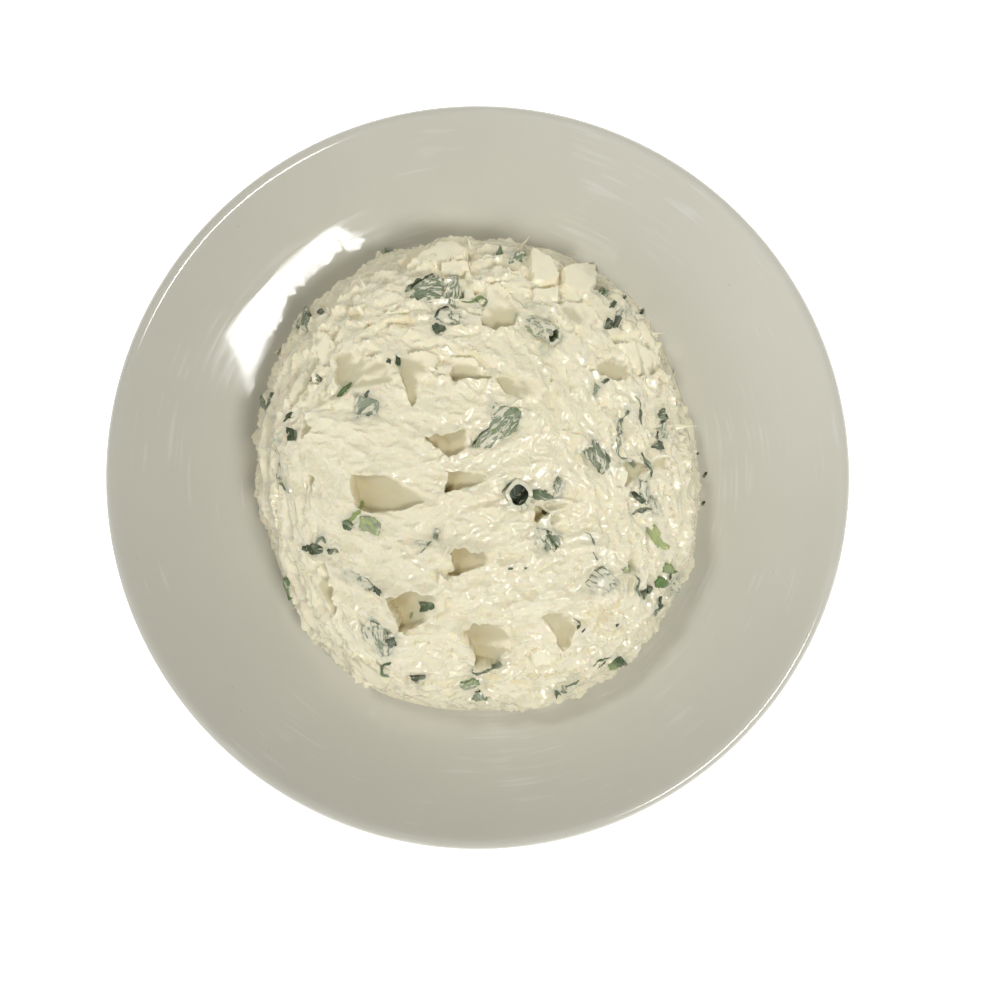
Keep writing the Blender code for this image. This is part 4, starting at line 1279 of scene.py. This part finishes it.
def bore_tube(skin, tube):
    """Empties the cheese out of a tube's open end."""
    place, along, across, normal = (np.array(v) for v in local_frame(tube.x, tube.y, tube.heading))
    lean = math.radians(tube.tilt)
    axis = along * math.cos(lean) + normal * math.sin(lean)
    offset = skin.base - place
    far = np.linalg.norm(offset - np.outer(offset @ axis, axis), axis=1)
    inside = (far < 0.42 * tube.width * MM) & (skin.normals @ axis > 0.5)
    skin.raised[inside] -= TUBE_HOLLOW


def footprint(piece):
    """The outline of a flake or a tube in plan."""
    if isinstance(piece, Flake):
        return np.array(piece.corners, dtype=float)
    turn, lean = math.radians(piece.heading), math.radians(piece.tilt)
    half = (piece.length * math.cos(lean) + piece.width * math.sin(lean)) / 2
    along = half * np.array((math.cos(turn), math.sin(turn)))
    across = piece.width / 2 * np.array((-math.sin(turn), math.cos(turn)))
    corners = (along + across, across - along, -along - across, along - across)
    return (piece.x, piece.y) + np.array(corners)


def stain_of(skin):
    """How much onion shows through the cheese that lies thinly beside each piece of it."""
    found = np.zeros(len(skin.base))
    for number, piece in enumerate(FLAKES + TUBES + RIBBONS):
        thin = isinstance(piece, Ribbon)
        outline = np.array(piece.path, dtype=float) if thin else footprint(piece)
        near = np.flatnonzero(close_to(skin, outline, 4))
        points = skin.plan[near]
        if thin:
            gap = nearest_on(points, outline[:-1], outline[1:])[0] - piece.width / 2
        else:
            gap = outline_gap(points, outline)[0]
        halo = np.exp(-((np.maximum(gap, 0) / 1.4) ** 2)) * (0.4 + 0.6 * piece.film)
        patch = 0.75 + 0.9 * noise_of(*(points.T / 3), seed=number * 1.3)
        found[near] = np.maximum(found[near], halo * patch)
    return np.clip(found, 0, 1)


def close_underside(shape):
    """Closes the mound below with rings that follow the plate's face."""
    rim = [edge for edge in shape.edges if edge.is_boundary]
    for radius in UNDERSIDE_RADII:
        made = bmesh.ops.extrude_edge_only(shape, edges=rim)["geom"]
        rim = [item for item in made if isinstance(item, bmesh.types.BMEdge)]
        for point in (item for item in made if isinstance(item, bmesh.types.BMVert)):
            point.co.xy = point.co.xy.normalized() * radius
            point.co.z = float(plate_top(radius)) + UNDERSIDE_GAP
    bmesh.ops.contextual_create(shape, geom=rim)


def cream_cheese(cheese):
    """Whipped cream cheese, spread and torn: light sinks in a little and comes out cream, torn curd
    is wrinkled and glints wet, and a blade leaves it smooth and satin. Faces that lie below the rest
    carry painted shade, a darker colour, and lower down in a cut a painted tan shade; onion just
    below shows through."""
    made, tree = new_material("torn_cream_cheese")
    place = add_node(tree, "ShaderNodeTexCoord").outputs["Object"]
    facet, sunk_shade, deep_shade, stain = (
        add_node(tree, "ShaderNodeAttribute", attribute_name=name).outputs["Fac"]
        for name in ("facet", "sunk_shade", "deep_shade", "stain")
    )
    blotch = add_node(
        tree, "ShaderNodeTexNoise", {"Vector": place, "Scale": per_metre(2.5), "Detail": 3.0}
    )
    seep = add_node(
        tree,
        "ShaderNodeMapRange",
        {"Value": blotch, "From Min": 0.4, "From Max": 0.65, "To Min": 0.2, "To Max": 0.8},
    )
    through = add_node(tree, "ShaderNodeMath", {0: stain, 1: seep}, operation="MULTIPLY")
    # Painted shade: faces below the rest mix toward a darker colour and the lowest parts of a cut
    # toward tan; the stain is onion that shows through
    colour = (*cheese.curd, 1)
    for share, tint in ((sunk_shade, cheese.spread), (deep_shade, cheese.deep_shade), (through, cheese.stain)):
        colour = add_node(
            tree,
            "ShaderNodeMix",
            {"Factor": share, "A": colour, "B": (*tint, 1)},
            data_type="RGBA",
        )
    curds = add_node(
        tree,
        "ShaderNodeTexNoise",
        {
            "Vector": place,
            "Scale": per_metre(1.5),
            "Detail": 3.0,
            "Roughness": 0.6,
            "Distortion": 0.6,
        },
    )
    rough, wrinkled, wet = (
        add_node(tree, "ShaderNodeMapRange", {"Value": facet, "To Min": torn, "To Max": spread})
        for torn, spread in ((0.34, 0.42), (0.75, 0.1), (1.0, 0.15))
    )
    bump = add_node(
        tree, "ShaderNodeBump", {"Height": curds, "Strength": wrinkled, "Distance": 0.9 * MM}
    )
    shade_with(
        tree,
        {
            "Base Color": colour,
            "Roughness": rough,
            "Normal": bump,
            "Coat Weight": wet,
            "Coat Roughness": 0.2,
            "IOR": 1.45,
            "Subsurface Weight": 0.3,
            "Subsurface Radius": (1.0, 0.75, 0.42),
            "Subsurface Scale": 0.8 * MM,
        },
    )
    return made


def cheese_piece(name, shape, values):
    """Gives a piece of cheese its material and what the material reads at each point."""
    for key, found in values.items():
        layer = shape.verts.layers.float.new(key)
        for vert, value in zip(shape.verts, found):
            vert[layer] = value
    finish = bpy.data.materials.get("torn_cream_cheese")
    finish = finish or cream_cheese(bpy.context.scene.cream_cheese)
    piece_from(name, shape, (finish,), "cheese", CHEESE_CREASE)


class CREAM_OT_cheese(bpy.types.Operator):
    """Heap, spread and scoop the cream cheese"""

    bl_idname = "cream.cheese"
    bl_label = "Cream cheese"

    def execute(self, context):
        cheese = context.scene.cream_cheese
        shape = bmesh.new()
        bmesh.ops.create_circle(shape, cap_ends=True, cap_tris=True, segments=6, radius=1.0)
        bmesh.ops.subdivide_edges(
            shape, edges=shape.edges, cuts=cheese.rings - 1, use_grid_fill=True
        )
        skin = Skin(shape, cheese)
        skin.raised += broad_height(skin.base)
        work_over(skin)
        for number, seam in enumerate(SEAMS):
            tear_seam(skin, seam, number)
        for number, facet in enumerate(FACETS):
            press_facet(skin, facet, number)
        for tube in TUBES:
            if tube.tilt >= OPEN_TILT:
                bore_tube(skin, tube)
        for vert, place in zip(shape.verts, skin.worked()):
            vert.co = place
        close_underside(shape)
        bmesh.ops.triangulate(shape, faces=shape.faces)
        bmesh.ops.recalc_face_normals(shape, faces=shape.faces)
        values = {"facet": skin.facet, "sunk_shade": skin.sunk_shade, "deep_shade": skin.deep_shade}
        values["stain"] = stain_of(skin)
        cheese_piece("cream_cheese", shape, values)
        return {"FINISHED"}


# Pulled tips


def worked_surface():
    """The finished mound, for finding where a line meets it."""
    shape = bmesh.new()
    shape.from_mesh(bpy.data.objects["cream_cheese"].data)
    tree = BVHTree.FromBMesh(shape)
    shape.free()
    return tree


def surface_frame(surface, piece, heading):
    """Where the eye's line to this place meets the worked cheese, with the dome's directions."""
    place, along, across, normal = local_frame(piece.x, piece.y, heading)
    hit = surface.ray_cast(EYE, (place - EYE).normalized())[0]
    return (hit or place), along, across, normal


def height_over(surface, point, normal):
    """How far the worked cheese lies above or below a point, along a direction."""
    lift = 8 * MM
    hit = surface.ray_cast(point + normal * lift, -normal, 2 * lift)[3]
    return 0.0 if hit is None else lift - hit


def joined(parts):
    """One shape of many small ones."""
    shape = bmesh.new()
    for part in parts:
        mesh = bpy.data.meshes.new("part")
        part.to_mesh(mesh)
        part.free()
        shape.from_mesh(mesh)
        bpy.data.meshes.remove(mesh)
    bmesh.ops.recalc_face_normals(shape, faces=shape.faces)
    return shape


def disc_points(shape, segments, rings):
    """Starts a flat closed body: its points with their distance from the middle of a unit disc,
    their direction, and their height from 1 on its top to -1 below."""
    made = bmesh.ops.create_uvsphere(shape, u_segments=segments, v_segments=rings, radius=1.0)
    for vert in made["verts"]:
        x, y, z = vert.co
        yield vert, math.hypot(x, y), math.atan2(y, x), z


def bar_points(shape, sides, cuts):
    """Starts a closed bar: its points with their side, counted round it, and their place along
    it from -1 to 1."""
    bmesh.ops.create_cone(shape, cap_ends=True, segments=sides, radius1=1, radius2=1, depth=2)
    walls = [edge for edge in shape.edges if abs(edge.verts[0].co.z - edge.verts[1].co.z) > 1]
    bmesh.ops.subdivide_edges(shape, edges=walls, cuts=cuts)
    for vert in shape.verts:
        side = round(math.atan2(vert.co.y, vert.co.x) / (2 * math.pi / sides)) % sides
        yield vert, side, vert.co.z


def pulled_tip(surface, tip, number):
    """A pulled tip: wide where it leaves the mound, then thin and bent."""
    part = bmesh.new()
    place, lean, across, normal = surface_frame(surface, tip, tip.lean)
    level = Vector((lean.x, lean.y, 0)).normalized()
    for vert, side, share in bar_points(part, 10, 7):
        far = (share + 1) / 2
        turn = side * math.pi / 5
        thick = tip.radius * (1 - far) ** TIP_TAPER + TIP_END
        centre = normal * (TIP_RISE * tip.length * far - TIP_ROOT)
        centre += level * (tip.length * (TIP_REACH * far**TIP_BEND))
        centre += across * (TIP_SWAY * far * noise.noise((far * 2, number * 2.1, 3.3)))
        ring = across * math.cos(turn) * thick * TIP_FLATNESS
        ring += normal.cross(across) * math.sin(turn) * thick
        vert.co = place + (centre + ring) * MM
    return part


class CREAM_OT_tips(bpy.types.Operator):
    """Pull up the tips where the spatula came away"""

    bl_idname = "cream.tips"
    bl_label = "Pulled tips"

    def execute(self, context):
        surface = worked_surface()
        shape = joined(pulled_tip(surface, tip, number) for number, tip in enumerate(TIPS))
        cheese_piece("pulled_tips", shape, {})
        return {"FINISHED"}


# Onion


def onion_material(onion):
    """Spring onion leaf and stalk, chopped: a waxy skin, dark green to pale, under a grey-green
    veil and the white smears of the cheese that was dragged along it."""
    made, tree = new_material("chopped_spring_onion")
    place = add_node(tree, "ShaderNodeAttribute", attribute_name="leaf").outputs["Vector"]
    tone, film = (
        add_node(tree, "ShaderNodeAttribute", attribute_name=name).outputs["Fac"]
        for name in ("tone", "film")
    )
    cloud = add_node(
        tree, "ShaderNodeTexNoise", {"Vector": place, "Scale": per_metre(3.0), "Detail": 2.0}
    )
    shade = add_node(
        tree, "ShaderNodeMath", {0: cloud, 1: 0.4, 2: tone}, operation="MULTIPLY_ADD"
    )
    colour = add_node(tree, "ShaderNodeValToRGB", {"Fac": shade})
    tones = colour.color_ramp.elements
    tones[0].color, tones[1].color = (*onion.edge, 1), (*onion.pale, 1)
    tones.new(0.2).color = (*onion.dark, 1)
    tones.new(0.6).color = (*onion.green, 1)
    drawn_out = add_node(tree, "ShaderNodeMapping", {"Vector": place, "Scale": (0.4, 1, 1)})
    for size, low, high, tint in ((2.6, 0.5, 0.78, onion.veil), (1.3, 0.69, 0.77, onion.film)):
        pattern = add_node(
            tree,
            "ShaderNodeTexNoise",
            {
                "Vector": drawn_out,
                "Scale": per_metre(size),
                "Detail": 3.0,
                "Roughness": 0.6,
                "Distortion": 1.2,
            },
        )
        over = add_node(
            tree, "ShaderNodeMath", {0: film, 1: 0.33, 2: pattern}, operation="MULTIPLY_ADD"
        )
        cover = add_node(
            tree, "ShaderNodeMapRange", {"Value": over, "From Min": low, "From Max": high}
        )
        colour = add_node(
            tree,
            "ShaderNodeMix",
            {"Factor": cover, "A": colour, "B": (*tint, 1)},
            data_type="RGBA",
        )
    bump = add_node(
        tree, "ShaderNodeBump", {"Height": cover, "Strength": 0.7, "Distance": 0.25 * MM}
    )
    shade_with(tree, {"Base Color": colour, "Normal": bump, "Roughness": 0.28, "IOR": 1.45})
    return made


def outline_reach(corners, turn):
    """How far an outline lies from its middle, the origin, in a direction."""
    way = np.roll(corners, -1, axis=0) - corners
    toward = (math.cos(turn), math.sin(turn))
    slope = toward[0] * way[:, 1] - toward[1] * way[:, 0]
    slope = np.where(slope == 0, 1e-9, slope)
    far = (corners[:, 0] * way[:, 1] - corners[:, 1] * way[:, 0]) / slope
    share = (corners[:, 0] * toward[1] - corners[:, 1] * toward[0]) / slope
    return far[(share >= -1e-6) & (share <= 1 + 1e-6) & (far > 0)].max()


def flake_part(part, keys, surface, flake, number, wall):
    """A flake of leaf: a thin ragged body that follows the cheese below it and sinks at one side."""
    middle = np.array(flake.corners, dtype=float).mean(axis=0)
    place, along, across, normal = local_frame(*middle.tolist(), 0)
    corners = []
    for x, y in flake.corners:
        off = (seen_at(x, y)[0] - place) / MM
        corners.append((off.dot(along), off.dot(across)))
    corners = np.array(corners)
    shown = np.hypot(*(np.array(flake.corners) - middle).T)
    corners *= np.minimum(1, FLAKE_STRETCH * shown / np.hypot(*corners.T))[:, None]
    size = np.hypot(*corners.T).max()
    longest = corners[np.hypot(*corners.T).argmax()]
    heading = math.atan2(longest[1], longest[0])
    rows, heights = [], []
    for share in (0.0, 0.5, 0.95):
        for turn in np.radians(np.arange(0, 360, 45)):
            far = share * outline_reach(corners, turn)
            x, y = far * math.cos(turn), far * math.sin(turn)
            point = place + (along * x + across * y) * MM
            rows.append(bend_row(x / size, y / size))
            heights.append(height_over(surface, point, normal) / MM)
    level = np.median(heights)
    heights = np.clip(heights, level - FLAKE_SLACK, level + FLAKE_SLACK)
    bent = np.linalg.lstsq(np.array(rows), heights, rcond=None)[0]
    sink = math.radians(flake.sink)
    for vert, share, turn, z in disc_points(part, *FLAKE_STEPS):
        far = share * outline_reach(corners, turn)
        circle = Vector((math.cos(turn), math.sin(turn), 0))
        swell = 1
        for waves, height, start in FLAKE_WAVES:
            swell += height * noise.noise(circle * waves + Vector((0, 0, number * start)))
        far *= swell
        x, y = far * math.cos(turn), far * math.sin(turn)
        height = float(np.dot(bent, bend_row(x / size, y / size)))
        height = min(max(height, heights.min() - 0.3), heights.max() + 0.3) + flake.lift
        height -= FLAKE_SLANT * (x * math.cos(sink) + y * math.sin(sink))
        ripple = noise.noise((x / size * 1.6 + number * 5.3, y / size * 1.6, 0.5))
        height += FLAKE_RIPPLE * size * ripple
        dipped = noise.noise(circle * 1.5 + Vector((0, 0, number * 3.3)))
        height -= FLAKE_DIP * max(dipped, 0) * share**4
        height += math.copysign(abs(z) ** FLAKE_ROUNDNESS, z) * wall / MM / 2
        vert.co = place + (along * x + across * y + normal * height) * MM
        vert[keys[0]] = flake.tone - 0.15 * smooth_step(0.85, 1.0, share)
        vert[keys[1]] = flake.film * (1 - smooth_step(0.96, 1.0, share))
        u = x * math.cos(heading) + y * math.sin(heading)
        v = y * math.cos(heading) - x * math.sin(heading)
        vert[keys[2]] = Vector((u * MM, v * MM, number * 0.01))


def tube_part(part, keys, surface, tube, number, wall):
    """A cup-like piece of stalk: closed where it is buried, open and hollow at its far end."""
    place, along, across, normal = local_frame(tube.x, tube.y, tube.heading)
    levels = []
    for turn in np.radians(np.arange(0, 360, 30)).tolist():
        beside = (along * math.cos(turn) + across * math.sin(turn)) * (0.7 * tube.width * MM)
        levels.append(height_over(surface, place + beside, normal))
    place = place + normal * float(np.median(levels))
    half, radius = tube.length / 2, tube.width / 2
    inner = radius - max(wall / MM, 0.15 * tube.width)
    steps = [half * share for share in np.linspace(-1, 1, TUBE_STEPS[1]).tolist()]
    points = [(-half, 0.0), *((x, radius) for x in steps)]
    points += [*((x, inner) for x in reversed(steps[1:])), (steps[1], 0.0)]
    turn_line(part, [(x, 0, far) for x, far in points], (1, 0, 0), TUBE_STEPS[0], 1e-4)
    lean = Matrix.Rotation(math.radians(-tube.tilt), 3, "Y")
    axes = Matrix((along, across, normal)).transposed()
    for vert in part.verts:
        x, y, z = vert.co
        far = math.hypot(y, z)
        inside = far < (radius + inner) / 2 and -half + 0.01 < x < half - 0.01
        around = math.atan2(z, y)
        circle = (math.cos(around), math.sin(around))
        wave = noise.noise((circle[0] * 1.3, circle[1] * 1.3, number * 2.7))
        ripple = noise.noise((x * 0.4, circle[0] * 1.4, circle[1] * 1.4 + number))
        torn = noise.noise((circle[0] * 3.5, circle[1] * 3.5, number * 4.1))
        x += (TUBE_RAGGED[0] * wave + TUBE_RAGGED[1] * torn) * max(x / half, 0)
        swell = 1 + TUBE_RIPPLE * ripple + TUBE_WAVE * wave + (TUBE_TEAR * torn if inside else 0)
        broad, flat = (swell * squash for squash in TUBE_SQUASH)
        body = axes @ (lean @ Vector((x, y * broad, z * flat)))
        vert.co = place + (body + normal * tube.lift) * MM
        # Painted shade: the hollow inside of a tube takes the darkest tone and no film
        vert[keys[0]] = 0.0 if inside else tube.tone
        vert[keys[1]] = 0.0 if inside else tube.film
        vert[keys[2]] = Vector((x * MM, around * radius * MM, number * 0.01))


def ribbon_part(part, keys, surface, ribbon, number, wall):
    """A leaf's edge along a path, mostly buried in the cheese."""
    path = np.array(ribbon.path)
    far = np.concatenate([[0], np.cumsum(np.hypot(*np.diff(path, axis=0).T))])
    count = max(int(far[-1] / RIBBON_STEP), 5)
    even = np.linspace(0, far[-1], count + 2)
    line = np.stack([np.interp(even, far, path[:, 0]), np.interp(even, far, path[:, 1])], 1)
    line[1:-1] = (line[:-2] + 2 * line[1:-1] + line[2:]) / 4
    sway = [noise_of(even / RIBBON_SWAY_LENGTH, seed=number + start) for start in (1.3, 8.1)]
    line += RIBBON_SWAY * np.stack(sway, 1)
    thick = np.clip(1.15 + 1.6 * noise_of(even / 1.5, seed=number + 4.7), 0.3, 2.2)
    thick *= np.sin(np.linspace(0.15, math.pi - 0.15, count + 2)) ** 0.4
    places, normals = [], []
    for x, y in line.tolist():
        place, normal = seen_at(x, y)
        places.append(surface.ray_cast(EYE, (place - EYE).normalized())[0] or place)
        normals.append(normal)
    for vert, side, share in bar_points(part, 6, count):
        spot = min(round((share + 1) / 2 * (count + 1)), count + 1)
        ahead = (places[min(spot + 1, count + 1)] - places[max(spot - 1, 0)]).normalized()
        beside = normals[spot].cross(ahead).normalized()
        turn = side * math.pi / 3
        wide = ribbon.width / 2 * thick[spot] * math.cos(turn)
        up = RIBBON_RISE * thick[spot] if math.sin(turn) > 0.1 else -RIBBON_DEPTH
        vert.co = places[spot] + (beside * wide + normals[spot] * up) * MM
        vert[keys[0]] = ribbon.tone
        vert[keys[1]] = ribbon.film
        vert[keys[2]] = Vector((even[spot] * MM, wide * MM, number * 0.01))


def crumb_part(part, keys, surface, crumb, number, wall):
    """A scrap of leaf that fell beside the mound and lies on the plate."""
    target = Vector((crumb.x * MM, crumb.y * MM, PLAN_HEIGHT))
    place = target
    for _ in range(10):
        floor = float(plate_top(math.hypot(place.x, place.y)))
        place = EYE + (target - EYE) * ((EYE.z - floor) / (EYE.z - PLAN_HEIGHT))
    lies = Matrix.Rotation(math.radians(crumb.heading), 3, "Z")
    size = Vector((crumb.length, crumb.width, 0.5 * crumb.width)) * MM
    bmesh.ops.create_icosphere(part, subdivisions=3, radius=0.5)
    for vert in part.verts:
        swell = 1 + 0.4 * noise.noise(vert.co * 4 + Vector((number, 0, 0)))
        body = lies @ Vector([side * far for side, far in zip(vert.co, size)])
        vert.co = place + body * swell + Vector((0, 0, size.z / 2))
        vert[keys[0]] = CRUMB_TONE
        vert[keys[2]] = vert.co


def make_onion(name, pieces, fill_part, onion):
    """Makes one piece of the scene of all the chopped onion of a kind."""
    surface = worked_surface()
    parts = []
    for number, piece in enumerate(pieces):
        part = bmesh.new()
        layers = part.verts.layers
        keys = (layers.float.new("tone"), layers.float.new("film"), layers.float_vector.new("leaf"))
        fill_part(part, keys, surface, piece, number, onion.wall)
        parts.append(part)
    finish = bpy.data.materials.get("chopped_spring_onion") or onion_material(onion)
    piece_from(name, joined(parts), (finish,), "cheese")


class CREAM_OT_flakes(bpy.types.Operator):
    """Lay the flakes of onion leaf on the cheese"""

    bl_idname = "cream.flakes"
    bl_label = "Leaf flakes"

    def execute(self, context):
        make_onion("onion_leaf_flakes", FLAKES, flake_part, context.scene.cream_onion)
        return {"FINISHED"}


class CREAM_OT_tubes(bpy.types.Operator):
    """Press the rings and tubes of onion stalk into the cheese"""

    bl_idname = "cream.tubes"
    bl_label = "Stalk rings and tubes"

    def execute(self, context):
        make_onion("onion_stalk_tubes", TUBES, tube_part, context.scene.cream_onion)
        return {"FINISHED"}


class CREAM_OT_ribbons(bpy.types.Operator):
    """Sink the leaf edges that show as thin lines"""

    bl_idname = "cream.ribbons"
    bl_label = "Leaf edges"

    def execute(self, context):
        make_onion("onion_leaf_edges", RIBBONS, ribbon_part, context.scene.cream_onion)
        return {"FINISHED"}


class CREAM_OT_crumbs(bpy.types.Operator):
    """Drop the scraps of leaf that lie on the plate"""

    bl_idname = "cream.crumbs"
    bl_label = "Crumbs on the plate"

    def execute(self, context):
        make_onion("onion_crumbs", CRUMBS, crumb_part, context.scene.cream_onion)
        return {"FINISHED"}


# Stage

# Where each light points to, in metres, the degrees round and up from which it comes, and how
# far off it is
LIGHT_DISTANCE = 1.2
WINDOW_AIM, WINDOW_TURN, WINDOW_RISE = (0, 0, 0.03), -45, 61
WINDOW_SIZE = (0.42, 0.34)
LAMP_AIM, LAMP_TURN, LAMP_RISE = (0.045, 0.05, 0.02), 135, 60
LAMP_RADIUS = 0.12
LAMP_CONE = math.radians(20)

# The lit wall: the degrees round and up of its middle, and how narrow it is
WALL_TURN, WALL_RISE = 206, 35
WALL_NARROWNESS = 10.0


def add_light(name, kind, aim, azimuth, elevation, power):
    """A light that points at a place on the mound, from a direction in degrees."""
    lamp = bpy.data.lights.new(name, kind)
    lamp.energy = power
    made = bpy.data.objects.new(name, lamp)
    away = direction(azimuth, elevation)
    made.location = Vector(aim) + away * LIGHT_DISTANCE
    made.rotation_euler = away.to_track_quat("Z", "Y").to_euler()
    bpy.context.scene.collection.objects.link(made)
    return made


def room(stage):
    """A dim room with pale walls, and a brighter one to the left and a little in front."""
    world = bpy.data.worlds.new("room")
    world.use_nodes = True
    tree = world.node_tree
    tree.nodes.clear()
    ray = add_node(tree, "ShaderNodeTexCoord").outputs["Generated"]
    wall = direction(WALL_TURN, WALL_RISE)
    facing = add_node(tree, "ShaderNodeVectorMath", {0: ray, 1: wall}, operation="DOT_PRODUCT")
    facing = add_node(tree, "ShaderNodeMath", {0: facing, 1: 0.0}, operation="MAXIMUM")
    lobe = add_node(tree, "ShaderNodeMath", {0: facing, 1: WALL_NARROWNESS}, operation="POWER")
    height = add_node(tree, "ShaderNodeSeparateXYZ", {"Vector": ray}).outputs["Z"]
    low = add_node(tree, "ShaderNodeMath", {0: 1.0, 1: height}, operation="SUBTRACT", use_clamp=True)
    low = add_node(tree, "ShaderNodeMath", {0: low, 1: 2.0}, operation="POWER")
    light = stage.fill
    for share, strength in ((low, stage.walls), (lobe, stage.wall)):
        light = add_node(
            tree, "ShaderNodeMath", {0: share, 1: strength, 2: light}, operation="MULTIPLY_ADD"
        )
    shown = add_node(tree, "ShaderNodeBackground", {"Color": (1, 1, 1, 1), "Strength": light})
    add_node(tree, "ShaderNodeOutputWorld", {"Surface": shown})
    return world


class CREAM_OT_stage(bpy.types.Operator):
    """Set up the floor, the soft studio light and the camera"""

    bl_idname = "cream.stage"
    bl_label = "Stage"

    def execute(self, context):
        scene = context.scene
        stage = scene.cream_stage
        shape = bmesh.new()
        bmesh.ops.create_grid(shape, x_segments=1, y_segments=1, size=1.5)
        paint, tree = new_material("painted_studio_floor")
        shade_with(
            tree,
            {
                "Base Color": (*stage.floor, 1),
                "Roughness": 0.9,
                "Emission Color": (1, 1, 1, 1),
                "Emission Strength": stage.floor_light,
            },
        )
        floor = object_from("floor", shape, (paint,))
        floor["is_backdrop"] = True
        window = add_light("window", "AREA", WINDOW_AIM, WINDOW_TURN, WINDOW_RISE, stage.window)
        window.data.shape = "RECTANGLE"
        window.data.size, window.data.size_y = WINDOW_SIZE
        lamp = add_light("lamp", "SPOT", LAMP_AIM, LAMP_TURN, LAMP_RISE, stage.lamp)
        lamp.data.shadow_soft_size = LAMP_RADIUS
        lamp.data.spot_size = LAMP_CONE
        lamp.data.spot_blend = 1.0
        lamp.visible_glossy = False
        scene.world = room(stage)
        lens = bpy.data.cameras.new("camera")
        lens.lens = stage.focal
        lens.sensor_width = 36
        camera = bpy.data.objects.new("camera", lens)
        camera.location = EYE
        scene.collection.objects.link(camera)
        scene.camera = camera
        scene.view_settings.view_transform = "Standard"
        return {"FINISHED"}


class CREAM_PT_panel(bpy.types.Panel):
    """Lists the pieces and their sizes"""

    bl_label = "Cream cheese"
    bl_idname = "CREAM_PT_panel"
    bl_space_type = "VIEW_3D"
    bl_region_type = "UI"
    bl_category = "Cream cheese"

    def draw(self, context):
        for operator in OPERATORS:
            self.layout.operator(operator.bl_idname)
        for name in SETTINGS:
            group = getattr(context.scene, name)
            box = self.layout.box()
            for key in group.bl_rna.properties.keys():
                if key not in {"rna_type", "name"}:
                    box.prop(group, key)


OPERATORS = (
    CREAM_OT_stage,
    CREAM_OT_plate,
    CREAM_OT_cheese,
    CREAM_OT_tips,
    CREAM_OT_flakes,
    CREAM_OT_tubes,
    CREAM_OT_ribbons,
    CREAM_OT_crumbs,
)
SETTINGS = {
    "cream_stage": StageSettings,
    "cream_plate": PlateSettings,
    "cream_cheese": CheeseSettings,
    "cream_onion": OnionSettings,
}
CLASSES = (*SETTINGS.values(), *OPERATORS, CREAM_PT_panel)


def register():
    for made in CLASSES:
        bpy.utils.register_class(made)
    for name, group in SETTINGS.items():
        setattr(bpy.types.Scene, name, PointerProperty(type=group))


def unregister():
    for name in SETTINGS:
        delattr(bpy.types.Scene, name)
    for made in reversed(CLASSES):
        bpy.utils.unregister_class(made)


def main():
    register()
    bpy.ops.cream.stage()
    bpy.ops.cream.plate()
    bpy.ops.cream.cheese()
    bpy.ops.cream.tips()
    bpy.ops.cream.flakes()
    bpy.ops.cream.tubes()
    bpy.ops.cream.ribbons()
    bpy.ops.cream.crumbs()
    boxes = {"cad": CAD_BOX, "visual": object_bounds()}
    {name: [list(corner) for corner in box] for name, box in boxes.items()}


if __name__ == "__main__":
    main()
